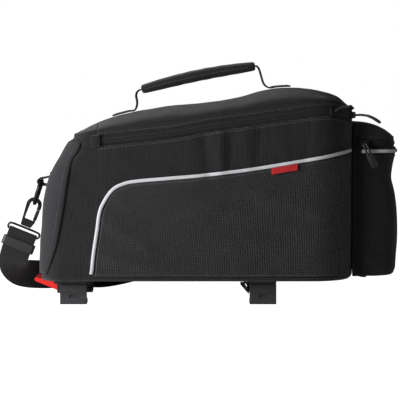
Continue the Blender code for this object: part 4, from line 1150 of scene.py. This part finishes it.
def front_wrap_point(z, reach, lift):
    """Point on the front wall, reach along it from the middle and positive to the near side."""
    side = -1 if reach > 0 else 1
    flat = HALF_WIDTH - FRONT_CORNER_RADIUS
    turn_x = front_x(z) + FRONT_CORNER_RADIUS
    past_flat = max(abs(reach) - flat, 0.0)
    turn = min(past_flat / FRONT_CORNER_RADIUS, math.pi / 2)
    past_corner = past_flat - turn * FRONT_CORNER_RADIUS
    if past_corner > GAP / 10:
        return side_point(turn_x + past_corner, z, side, lift)
    x = turn_x - FRONT_CORNER_RADIUS * math.cos(turn)
    y = side_y(x, z) if past_flat else abs(reach)
    return Vector((x - lift * math.cos(turn), side * (y + lift * math.sin(turn)), z))


def front_seam_reach(z):
    """Length along the front wall from the middle to the front panel's sewn edge."""
    seam = x_at(smooth(FRONT_SEAM, up_of(z)))
    turn_x = front_x(z) + FRONT_CORNER_RADIUS
    turn = math.acos(min(max((turn_x - seam) / FRONT_CORNER_RADIUS, 0.0), 1.0))
    return HALF_WIDTH - FRONT_CORNER_RADIUS * (1.0 - turn) + max(seam - turn_x, 0.0)


FRONT_PANEL_ROWS = 46
WRAP_COLUMNS = 16
FLAT_SPLIT = 7


def front_panel_point(z, reach, lift):
    base = front_wrap_point(z, reach, 0.0)
    return front_wrap_point(z, reach, lift + cloth_rise(base))


def make_front_panel():
    flat = HALF_WIDTH - FRONT_CORNER_RADIUS
    rows = []
    seam_runs = {-1: [], 1: []}
    for level in range(FRONT_PANEL_ROWS + 1):
        up = FRONT_SEAM[0][0] + (FRONT_SEAM[-1][0] - FRONT_SEAM[0][0]) * level / FRONT_PANEL_ROWS
        z = z_at(up)
        end = front_seam_reach(z)
        near = [flat * n / FLAT_SPLIT for n in range(1, FLAT_SPLIT + 1)]
        near += [flat + (end - flat) * (n + 1) / WRAP_COLUMNS for n in range(WRAP_COLUMNS)]
        reaches = [-reach for reach in reversed(near)] + [0.0] + near
        row = []
        for reach in reaches:
            from_edge = end - abs(reach)
            swell = 0.0007 * (1.0 - math.exp(-from_edge / 0.004)) - 0.0004 * math.exp(-from_edge / 0.0015)
            row.append(front_panel_point(z, reach, FRONT_LIFT + swell))
        rows.append(row)
        for side in seam_runs:
            reach = side * (end - 0.0045)
            point = front_panel_point(z, reach, FRONT_LIFT + PANEL_WALL + 0.0006)
            normal = point - front_panel_point(z, reach, 0.0)
            seam_runs[side].append((point, normal.normalized()))
    panel = grid_piece("front_panel_cloth", rows, PANEL_WALL)
    dress(panel, "front_cloth", ["front_panel"])
    stitches("front_topstitch", [fine_run(run, 0.002) for run in seam_runs.values()])


def piping_rise_point(share):
    up = PIPING_RISE[0][0] + (PIPING_RISE[-1][0] - PIPING_RISE[0][0]) * share
    return Vector((x_at(smooth(PIPING_RISE, up)), z_at(up)))


def piping_run_point(share):
    along = PIPING_RUN[0][0] + (PIPING_RUN[-1][0] - PIPING_RUN[0][0]) * share
    return Vector((x_at(along), z_at(smooth(PIPING_RUN, along))))


def panel_edge(share, rising):
    """Side panel's edge beside the piping, turned through the bend where its legs meet."""
    clear = PIPING_WIDTH * 0.75 + GAP
    if rising:
        turn = -math.pi / 4 * share**4
        return piping_rise_point(share) + clear * Vector((math.cos(turn), math.sin(turn)))
    turn = -math.pi / 2 + math.pi / 4 * (1 - share) ** 8
    return piping_run_point(share) + clear * Vector((math.cos(turn), math.sin(turn)))


PANEL_ROWS = 40
PANEL_COLUMNS = 90
PIPING_POINTS = 110
PIPING_SECTION = ((-1.0, 0.5), (-1.0, -0.5), (-0.5, -0.95), (0.3, -1.0), (0.9, -0.6), (1.0, 0.0), (0.9, 0.6), (0.3, 1.0), (-0.5, 0.95))


def panel_shares(first, last):
    """Shares of the way from one X to another, even along the wall and round the rear corner."""
    turn_x = REAR_X - REAR_CORNER_RADIUS
    last_turn = math.asin((last - turn_x) / REAR_CORNER_RADIUS)
    flat_length, turn_length = turn_x - first, REAR_CORNER_RADIUS * last_turn
    flat_count = round(PANEL_COLUMNS * flat_length / (flat_length + turn_length))
    turn_count = PANEL_COLUMNS - flat_count
    places = [first + (turn_x - first) * n / flat_count for n in range(flat_count)]
    places += [
        turn_x + REAR_CORNER_RADIUS * math.sin(last_turn * n / turn_count) for n in range(turn_count + 1)
    ]
    return [(place - first) / (last - first) for place in places]


def make_side_panel(word, side):
    """Lower panel of ribbed cloth, filled between its four edges."""
    foot = BASE_Z + SIDE_EDGE_RADIUS
    corner, heel = panel_edge(0.0, True), panel_edge(1.0, False)
    bend = panel_edge(1.0, True)
    rows = []
    for level in range(PANEL_ROWS + 1):
        rise = level / PANEL_ROWS
        left = panel_edge(rise, True)
        left.y = foot + (left.y - corner.y) / (bend.y - corner.y) * (bend.y - foot)
        right = Vector((heel.x, foot + (heel.y - foot) * rise))
        row = []
        for run in panel_shares(corner.x, heel.x):
            low = Vector((corner.x + (heel.x - corner.x) * run, foot))
            high = panel_edge(run, False)
            flat = (
                low * (1 - rise) + high * rise + left * (1 - run) + right * run
                - (1 - rise) * ((1 - run) * Vector((corner.x, foot)) + run * Vector((heel.x, foot)))
                - rise * ((1 - run) * bend + run * heel)
            )
            row.append(skin_point(flat.x, flat.y, side, LAYER_GAP))
        rows.append(row if side < 0 else row[::-1])
    panel = grid_piece("side_panel_cloth_" + word, rows, PANEL_WALL)
    dress(panel, "ribbed_cloth", ["side_panel_" + word])


def piping_line():
    line = [piping_rise_point(n / 40) for n in range(40)]
    line += [piping_run_point(n / PIPING_POINTS) for n in range(PIPING_POINTS + 1)]
    return line


def make_piping(word, side):
    stations, run = [], []
    line = piping_line()
    for n, place in enumerate(line):
        centre = skin_point(place.x, place.y, side, LAYER_GAP + PIPING_HEIGHT / 2)
        outward = side_outward(place.x, place.y, side)
        stations.append((centre, outward, PIPING_HEIGHT / 2, PIPING_WIDTH / 2))
        travel = (line[min(n + 1, len(line) - 1)] - line[max(n - 1, 0)]).normalized()
        beside = place + Vector((travel.y, -travel.x)) * 0.0045
        if beside.y > BASE_Z + SIDE_EDGE_RADIUS + 0.002:
            stitch = skin_point(beside.x, beside.y, side, LAYER_GAP + PANEL_WALL + 0.0003)
            run.append((stitch, outward))
    piece = sweep("piping_" + word + "_bead", stations, PIPING_SECTION)
    dress(piece, "reflective", ["piping_" + word])
    stitches("panel_topstitch_" + word, [fine_run(run, 0.002)])


def make_label():
    """Bare woven tab that hangs from the near piping over the side panel."""
    start = x_at(LABEL_ALONG)
    lift = LAYER_GAP * 2 + PANEL_WALL
    rows = []
    for level in range(9):
        share = level / 8
        drop = LABEL_DROP * (1 - share)
        row = []
        for n in range(27):
            x = start + LABEL_LENGTH * n / 26
            top = z_at(smooth(PIPING_RUN, along_of(x))) - PIPING_WIDTH / 2 - GAP
            curl = 0.0006 * (1 - share) ** 2 * (1 + 0.5 * math.sin(n / 5))
            row.append(skin_point(x, top - drop, -1, lift + curl))
        rows.append(row)
    tab = grid_piece("side_label_weave", rows, LABEL_WALL)
    dress(tab, "red_label", ["side_label"])


def make_zip_end(word, side):
    """Cloth tab over the end of the main zip."""
    rows = []
    for level in range(9):
        height = -ZIP_BAND / 2 - TAB_LAP + (ZIP_BAND + TAB_LAP * 2) * level / 8
        row = []
        for n in range(9):
            x = HINGE_X - ZIP_TAB_LENGTH + (ZIP_TAB_LENGTH + 0.003) * n / 8
            swell = 0.0008 * math.sin(math.pi * level / 8) * math.sin(math.pi * n / 8)
            row.append(side_point(x, zip_z(x) + height, side, LAYER_GAP + 0.0006 + swell))
        rows.append(row if side < 0 else row[::-1])
    tab = grid_piece("zip_end_tab_" + word, rows, PANEL_WALL)
    dress(tab, "body_cloth", ["zip_end_" + word])


# Rear pocket
def pocket_point(profile, turn):
    """Point of the pocket's wall for a profile row, turned from the near end to the far end."""
    out, up, wide = profile
    power = 2 / POCKET_SQUARENESS
    y = wide * POCKET_WIDTH / 2 * math.copysign(abs(math.sin(turn)) ** power, turn)
    bow = max(math.cos(turn), 0.0) ** power
    return Vector((rear_wall_x(y) + POCKET_SEAM + out * POCKET_DEPTH * bow, y, z_at(up)))


def pocket_turns(steps):
    return [math.pi * (n / steps - 0.5) for n in range(steps + 1)]


POCKET_COLUMNS = 72
POCKET_ROW_SPLIT = 5
POCKET_DENTS = ((0.52, -0.9, 0.09, 0.5, -1.6), (0.60, 0.3, 0.08, 0.6, -1.0), (0.30, 0.0, 0.12, 0.7, 1.2), (0.70, -0.3, 0.05, 0.4, 0.8))


def fine_profile(rows, split):
    """Profile rows on a smooth curve, split steps to each gap."""
    columns = [[(n, row[c]) for n, row in enumerate(rows)] for c in range(3)]
    steps = (len(rows) - 1) * split
    return [tuple(smooth(column, n / split) for column in columns) for n in range(steps + 1)]


def pocket_rise(point):
    rise = noise.noise(point / 0.030) * 0.0009 + noise.noise(point / CRUMPLE_SIZE) * CRUMPLE_RISE
    up = up_of(point.z)
    for centre, across, tall, wide, high in POCKET_DENTS:
        away = ((up - centre) / tall) ** 2 + ((point.y / (POCKET_WIDTH / 2) - across) / wide) ** 2
        rise += high * MILLIMETRE * math.exp(-away)
    return rise * min(max((point.x - REAR_X - 0.004) / 0.012, 0.0), 1.0)


def pocket_rows(profile, turns, rise=True, lift=0.0):
    rows = [[pocket_point(row, turn) for turn in turns] for row in profile]
    made = []
    for r, row in enumerate(rows):
        line = []
        for c, point in enumerate(row):
            side = row[min(c + 1, len(row) - 1)] - row[max(c - 1, 0)]
            upward = rows[min(r + 1, len(rows) - 1)][c] - rows[max(r - 1, 0)][c]
            outward = side.cross(upward).normalized()
            line.append(point + outward * (lift + (pocket_rise(point) if rise else 0.0)))
        made.append(line)
    return made


def make_pocket():
    turns = pocket_turns(POCKET_COLUMNS)
    low, high = POCKET_PROFILE[-1], POCKET_DOME[0]
    walls = pocket_rows(fine_profile(POCKET_PROFILE, POCKET_ROW_SPLIT), turns)
    pocket = grid_piece("rear_pocket_cloth", walls, POCKET_WALL, outward=False)
    dress(pocket, "body_cloth", ["rear_pocket"])
    dome = pocket_rows(fine_profile(POCKET_DOME, POCKET_ROW_SPLIT), turns, rise=False)
    cover = grid_piece("pocket_lid_cloth", dome, POCKET_WALL, outward=False)
    dress(cover, "body_cloth", ["pocket_lid"])

    middle = tuple((a + b) / 2 for a, b in zip(low, high))
    line = [pocket_point(middle, turn) for turn in pocket_turns(160)]
    run = []
    for n, point in enumerate(line):
        travel = line[min(n + 1, len(line) - 1)] - line[max(n - 1, 0)]
        run.append((point, travel.cross(Vector((0, 0, 1))).normalized()))
    teeth = fine_run([(point - normal * 0.0004, normal) for point, normal in run], TOOTH_PITCH / 2)
    tape = grid_piece("pocket_zip_closed", zip_rows(teeth, 0.9), ZIP_WALL / 2, outward=False)
    dress(tape, "zip_tape", ["pocket_zip"])

    bead_row = (low[0], low[1] - PIPING_WIDTH / BODY_HEIGHT, low[2])
    stations = []
    for turn in pocket_turns(150)[1:-1]:
        point = pocket_point(bead_row, turn)
        travel = pocket_point(bead_row, turn + 0.01) - pocket_point(bead_row, turn - 0.01)
        outward = travel.cross(Vector((0, 0, 1))).normalized()
        centre = point + outward * (LAYER_GAP + PIPING_HEIGHT / 2)
        stations.append((centre, outward, PIPING_HEIGHT / 2, PIPING_WIDTH / 2))
    bead = sweep("pocket_piping_bead", stations, PIPING_SECTION)
    dress(bead, "reflective", ["pocket_piping"])
    rows = [(low[0], low[1] - 0.045, low[2]), (high[0] - 0.01, high[1] + 0.008, high[2] - 0.004)]
    runs = []
    for row in rows:
        points = [pocket_point(row, turn) for turn in pocket_turns(120)[4:-4]]
        seam = []
        for n, point in enumerate(points):
            travel = points[min(n + 1, len(points) - 1)] - points[max(n - 1, 0)]
            outward = travel.cross(Vector((0, 0, 1))).normalized()
            seam.append((point + outward * 0.0007, outward))
        runs.append(fine_run(seam, 0.002))
    stitches("pocket_topstitch", runs)


# Handle
def rounded_section(count, power):
    """Section of count points, rounder for a lower power."""
    made = []
    for n in range(count):
        turn = 2 * math.pi * n / count
        u, v = math.cos(turn), math.sin(turn)
        made.append((math.copysign(abs(u) ** (2 / power), u), math.copysign(abs(v) ** (2 / power), v)))
    return tuple(made)


def make_handle():
    across = Vector((0, 1, 0))

    def lid_top(along):
        return Vector((x_at(along), 0, crest_z(x_at(along)) + LAYER_GAP + WEB_THICKNESS / 2 + CREST_SAG + 0.0004))

    def place(row):
        return Vector((x_at(row[0]), 0, z_at(row[1])))

    def sewn(start, end):
        return [lid_top(start + (end - start) * n / 3) for n in range(4)]

    front = sewn(HANDLE_FRONT_SEWN[0], HANDLE_FRONT_SEWN[1]) + [place(row) for row in HANDLE_FRONT]
    rear = [place(row) for row in HANDLE_REAR] + sewn(HANDLE_REAR_SEWN[0], HANDLE_REAR_SEWN[1])
    boxes = []
    for word, line in (("front", front), ("rear", rear)):
        columns = [[(n, point[c]) for n, point in enumerate(line)] for c in range(3)]
        fine = [Vector([smooth(column, n / 6) for column in columns]) for n in range((len(line) - 1) * 6 + 1)]
        stations = [(point, across, HANDLE_WEB_WIDTH / 2, WEB_THICKNESS / 2) for point in fine]
        web = sweep("handle_webbing_" + word, stations, WEBBING_SECTION)
        dress(web, "webbing", ["handle_web_" + word])
        flat = fine[2:17] if word == "front" else fine[-17:-2]
        up = Vector((0, 0, 1))
        rise = up * (WEB_THICKNESS / 2 + 0.0003)
        inset = HANDLE_WEB_WIDTH / 2 - 0.003
        for side in (-1, 1):
            boxes.append([(point + rise + across * side * inset, up) for point in flat])
        for point in (flat[0], flat[-1]):
            boxes.append([(point + rise - across * inset, up), (point + rise + across * inset, up)])
        ends = (flat[0] + rise - across * inset, flat[-1] + rise + across * inset)
        boxes.append([(ends[0], up), (ends[1], up)])
        ends = (flat[0] + rise + across * inset, flat[-1] + rise - across * inset)
        boxes.append([(ends[0], up), (ends[1], up)])
    stitches("handle_box_stitch", [fine_run(run, 0.002) for run in boxes])

    start, end = front[-1], rear[0]
    reach = end - start
    rise = Vector((-reach.z, 0, reach.x)).normalized()
    stations = []
    steps = 70
    for n in range(steps + 1):
        share = n / steps
        swell = math.sin(math.pi * share)
        inset = GAP * (1 - 2 * share)
        centre = start + reach * share + reach.normalized() * inset + rise * GRIP_BOW * swell
        pinch = 0.00025 * math.sin(share * 46) * swell
        thick = GRIP_END_THICKNESS + (GRIP_THICKNESS - GRIP_END_THICKNESS) * swell**0.5 + pinch
        wide = HANDLE_WEB_WIDTH + (GRIP_WIDTH - HANDLE_WEB_WIDTH) * swell**0.5
        if n in (0, steps):
            thick *= 0.86
        stations.append((centre, across, wide / 2, thick / 2))
    grip = sweep("handle_grip_pad", stations, rounded_section(28, 2.9), sharp=70)
    dress(grip, "grip_cloth", ["handle_grip"])
    runs = []
    for side in (-1, 1):
        run = []
        for centre, _, half_wide, half_thick in stations[2:-2]:
            run.append((centre + across * side * (half_wide + 0.0001) - rise * half_thick * 0.1, across * side))
        runs.append(fine_run(run, 0.002))
    stitches("grip_stitch", runs)


# Shoulder strap with its rings and folds
FOLD_STEPS = 20


def leaning(outward, tilt):
    """Downward direction that leans outward by tilt, and the direction square to it."""
    down = outward * math.sin(tilt) + Vector((0, 0, -math.cos(tilt)))
    across = outward * math.cos(tilt) + Vector((0, 0, math.sin(tilt)))
    return down, across


def strap_fold(bar, down, normal, edge):
    """Strap stations from its sewn end up round an eye's bar and back down behind it."""
    radius = EYE_BAR / 2 + GAP + STRAP_THICKNESS / 2
    close = STRAP_THICKNESS / 2 + LAYER_GAP
    turns = [math.pi * (0.5 - n / FOLD_STEPS) for n in range(FOLD_STEPS + 1)]
    front = [(STRAP_TAIL, close), (STRAP_TAIL * FOLD_SHARE, close)]
    bend = [(-radius * math.cos(turn), radius * math.sin(turn)) for turn in turns]
    back = [(STRAP_TAIL * FOLD_SHARE, -close), (STRAP_TAIL, -close)]
    return [(bar + down * drop + normal * off, edge) for drop, off in front + bend + back]


def strap_row(row):
    along, out, up = row[:3]
    edge = Vector(row[3:]).normalized()
    height = max(abs(edge.z) * STRAP_WIDTH / 2 + GAP, up * BODY_HEIGHT)
    return (x_at(along), out * HALF_WIDTH, FLOOR_Z + height, *edge)


def hook_line(anchor, outward, reach, ring_tilt):
    """Eye's lower bar and the strap's directions for a ring that hangs from anchor."""
    bar = anchor + outward * reach
    ring_down = leaning(outward, ring_tilt)[0]
    down, across = leaning(outward, HOOK_TILT)
    base = bar + ring_down * RING_LENGTH + down * (HOOK_BASE + HOOK_WINDOW - RING_WIRE / 2 - RING_PLAY)
    middle = base + down * (GAP + EYE_BAR + EYE_OPENING / 2)
    eye = middle + down * (EYE_OPENING / 2 + EYE_BAR / 2)
    return bar, eye, down, across


def web_loop_line(anchor, outward, reach):
    """Webbing sewn to the bag at anchor and folded round the ring's bar."""
    radius = RING_WIRE / 2 + GAP + WEB_THICKNESS / 2
    rest = WEB_THICKNESS / 2 + LAYER_GAP
    upper = [(rest, radius + LOOP_SEWN), (rest + CREST_SAG, radius + LOOP_SEWN / 3)]
    turns = [LOOP_WRAP * (0.5 - n / 24) for n in range(25)]
    fold = [(reach + radius * math.cos(turn), radius * math.sin(turn)) for turn in turns]
    lower = [(rest + CREST_SAG, -radius - WEB_THICKNESS)]
    return [anchor + outward * out + Vector((0, 0, up)) for out, up in upper + fold + lower]


def make_strap():
    folds = []
    turn = math.radians(REAR_RING_TURN)
    rear_out = Vector((math.cos(turn), math.sin(turn), 0))
    corner = Vector((REAR_X - REAR_CORNER_RADIUS, HALF_WIDTH - REAR_CORNER_RADIUS, z_at(REAR_LOOP_UP)))
    rear = corner + rear_out * (REAR_CORNER_RADIUS + SIDE_BULGE)
    front_z = z_at(FRONT_LOOP_UP)
    front = Vector((front_x(front_z) - FRONT_LIFT - PANEL_WALL, 0, front_z))
    places = (
        ("front", front, Vector((-1, 0, 0)), FRONT_LOOP_REACH, RING_TILT, -1),
        ("rear", rear, rear_out, REAR_LOOP_REACH, REAR_RING_TILT, 1),
    )
    for name, anchor, outward, reach, tilt, edge_side in places:
        along_wall = Vector((0, 0, 1)).cross(outward)
        bar, eye, down, across = hook_line(anchor, outward, reach, tilt)
        line = web_loop_line(anchor, outward, reach)
        stations = [(point, along_wall, LOOP_WIDTH / 2, WEB_THICKNESS / 2) for point in line]
        web = sweep("ring_webbing_" + name, stations, WEBBING_SECTION)
        dress(web, "webbing", ["web_loop_" + name])
        normal = across.cross(-down)
        folds.append(strap_fold(eye, down, normal * edge_side, across * edge_side))
    first, last = folds
    rows = [(*first[-1][0], *first[-1][1])]
    rows += [strap_row(row) for row in STRAP_ROUTE]
    rows += [(*last[-1][0], *last[-1][1])]
    columns = [[(n, row[c]) for n, row in enumerate(rows)] for c in range(6)]
    split = 14
    middle = []
    for n in range((len(rows) - 1) * split + 1):
        values = [smooth(column, n / split) for column in columns]
        middle.append((Vector(values[:3]), Vector(values[3:])))
    line = first[:-1] + middle + last[-2::-1]
    stations = [(centre, edge, STRAP_WIDTH / 2, STRAP_THICKNESS / 2) for centre, edge in line]
    strap = sweep("shoulder_strap_webbing", stations, WEBBING_SECTION)
    dress(strap, "webbing", ["shoulder_strap"])
    length = sum((there[0] - here[0]).length for here, there in zip(line, line[1:]))
    print("strap length", round(length, 3))


# Moulded tags inside the zip pulls
TAG_START = 0.50
TAG_REACH = 0.46
TAG_STEPS = 8
TAG_THICKNESS = 0.0022


def pull_tag(name, point, outward, droop, lean=0.0):
    """Flat tag that fills the wide end of a pull's cord loop."""
    up = Vector((0, 0, 1))
    tangent = up.cross(outward).normalized()
    start = point + outward * (LAYER_GAP + ZIP_SLIDER_THICKNESS + GAP + PULL_CORD / 2)
    rise = up * math.cos(lean) - tangent * math.sin(lean)
    sideways = tangent * math.cos(lean) + up * math.sin(lean)
    stations = []
    for n in range(TAG_STEPS + 1):
        share = TAG_START + TAG_REACH * n / TAG_STEPS
        bend = math.radians(droop[0] + (droop[1] - droop[0]) * share)
        travel = outward * math.cos(bend) + rise * math.sin(bend)
        centre = start + travel * PULL_LENGTH * share
        stations.append((centre, sideways, smooth(PULL_SHAPE, share) * PULL_LENGTH, TAG_THICKNESS / 2))
    tag = sweep("pull_tag_" + name, stations, rounded_section(16, 2.5))
    dress(tag, "black_plastic")


def make_pull_tags():
    for name, turn_degrees, droop in MAIN_PULLS:
        turn = math.radians(turn_degrees)
        outward = Vector((math.cos(turn), -math.sin(turn), 0))
        x = REAR_X - REAR_CORNER_RADIUS + REAR_CORNER_RADIUS * outward.x
        y = REAR_CORNER_RADIUS - HALF_WIDTH + REAR_CORNER_RADIUS * outward.y
        pull_tag(name, Vector((x, y, zip_z(x))), outward, droop)
    row = [(a + b) / 2 for a, b in zip(POCKET_PROFILE[-1], POCKET_DOME[0])]
    turn = math.radians(POCKET_PULL_TURN)
    travel = pocket_point(row, turn + 0.01) - pocket_point(row, turn - 0.01)
    outward = travel.cross(Vector((0, 0, 1))).normalized()
    pull_tag("pocket", pocket_point(row, turn), outward, POCKET_PULL_DROOP, POCKET_PULL_LEAN)


# Carried-over hard pieces
HARD_FINISH = {
    "black_metal": ("ring_front", "ring_rear", "hook_front", "hook_rear", "hook_gate_front", "hook_gate_rear",
                    "strap_eye_front", "strap_eye_rear", "lever_pin", "zip_slider_upper", "zip_slider_lower",
                    "zip_slider_pocket"),
    "black_plastic": ("zip_pull_upper", "zip_pull_lower", "zip_pull_pocket", "strap_slider", "lever_ear_near",
                      "lever_ear_far"),
    "grey_plastic": ("adapter_plate", "adapter_rail_front", "adapter_rail_rear", "foot_front_near",
                     "foot_front_far", "foot_rear_near", "foot_rear_far", "foot_brace_near", "foot_brace_far"),
    "red_plastic": ("release_lever",),
}
ROUNDED = ("ring_front", "ring_rear", "strap_eye_front", "strap_eye_rear", "zip_pull_upper", "zip_pull_lower",
           "zip_pull_pocket")


def finish_hard_pieces():
    for surface, names in HARD_FINISH.items():
        for name in names:
            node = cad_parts[name]
            node.data.materials.clear()
            node.data.materials.append(PAINT[surface])
            if name in ROUNDED:
                weld = node.modifiers.new("Joined corners", "WELD")
                weld.merge_threshold = 0.00002
                smoother = node.modifiers.new("Round wire", "SUBSURF")
                smoother.levels = 1
                smoother.render_levels = 1


# Stage
FLOOR_GLOW = 1.0
ROOM_FILL = 0.10


def area_light(name, place, aim, size, power):
    data = bpy.data.lights.new(name, "AREA")
    data.shape = "RECTANGLE"
    data.size, data.size_y = size
    data.energy = power
    lamp = bpy.data.objects.new(name, data)
    lamp.location = place
    lamp.rotation_mode = "QUATERNION"
    lamp.rotation_quaternion = (Vector(aim) - Vector(place)).to_track_quat("-Z", "Y")
    bpy.context.collection.objects.link(lamp)


def make_stage():
    mesh = bpy.data.meshes.new("studio_floor")
    half = 6.0
    mesh.from_pydata([(-half, -half, FLOOR_Z), (half, -half, FLOOR_Z), (half, half, FLOOR_Z), (-half, half, FLOOR_Z)], [], [(0, 1, 2, 3)])
    floor = bpy.data.objects.new("studio_floor", mesh)
    bpy.context.collection.objects.link(floor)
    made, tree, shader = start_material("pale_floor")
    shader.inputs["Base Color"].default_value = (0.90, 0.90, 0.90, 1.0)
    shader.inputs["Roughness"].default_value = 0.08
    shader.inputs["Specular IOR Level"].default_value = 0.6
    shader.inputs["Emission Color"].default_value = (1.0, 1.0, 1.0, 1.0)
    seen = tree.nodes.new("ShaderNodeLightPath").outputs["Is Camera Ray"]
    tree.links.new(math_node(tree, "MULTIPLY", seen, FLOOR_GLOW), shader.inputs["Emission Strength"])
    mesh.materials.append(made)

    world = bpy.data.worlds.new("white_room")
    world.use_nodes = True
    backdrop = world.node_tree.nodes["Background"]
    backdrop.inputs["Color"].default_value = (1.0, 1.0, 1.0, 1.0)
    seen = world.node_tree.nodes.new("ShaderNodeLightPath").outputs["Is Camera Ray"]
    strength = math_node(world.node_tree, "MULTIPLY_ADD", seen, 1.0 - ROOM_FILL, ROOM_FILL)
    world.node_tree.links.new(strength, backdrop.inputs["Strength"])
    bpy.context.scene.world = world
    area_light("softbox_left", (-1.9, -1.0, 0.45), (0.0, 0.0, 0.08), (1.0, 0.8), 20)
    area_light("softbox_near_left", (-0.50, -0.50, 0.28), (-0.05, 0.0, 0.10), (0.3, 0.3), 3.4)
    area_light("softbox_top", (0.1, 0.1, 1.9), (0.0, 0.0, 0.0), (1.6, 1.6), 1.5)


def make_camera():
    data = bpy.data.cameras.new("studio_camera")
    data.lens = 180.0
    data.sensor_width = 36.0
    camera = bpy.data.objects.new("studio_camera", data)
    camera.location = (0.032, -2.065, 0.2124)
    aim = Vector((0.032, 0.0, 0.0805))
    camera.rotation_mode = "QUATERNION"
    camera.rotation_quaternion = (aim - camera.location).to_track_quat("-Z", "Y")
    bpy.context.collection.objects.link(camera)
    bpy.context.scene.camera = camera


make_camera()
make_stage()
bpy.context.scene.view_settings.view_transform = "Standard"
make_main_bag()
make_main_zip()
make_front_panel()
for side_word, side_sign in (("near", -1), ("far", 1)):
    make_side_panel(side_word, side_sign)
    make_piping(side_word, side_sign)
    make_zip_end(side_word, side_sign)
make_label()
make_pocket()
make_handle()
make_strap()
make_pull_tags()
finish_hard_pieces()
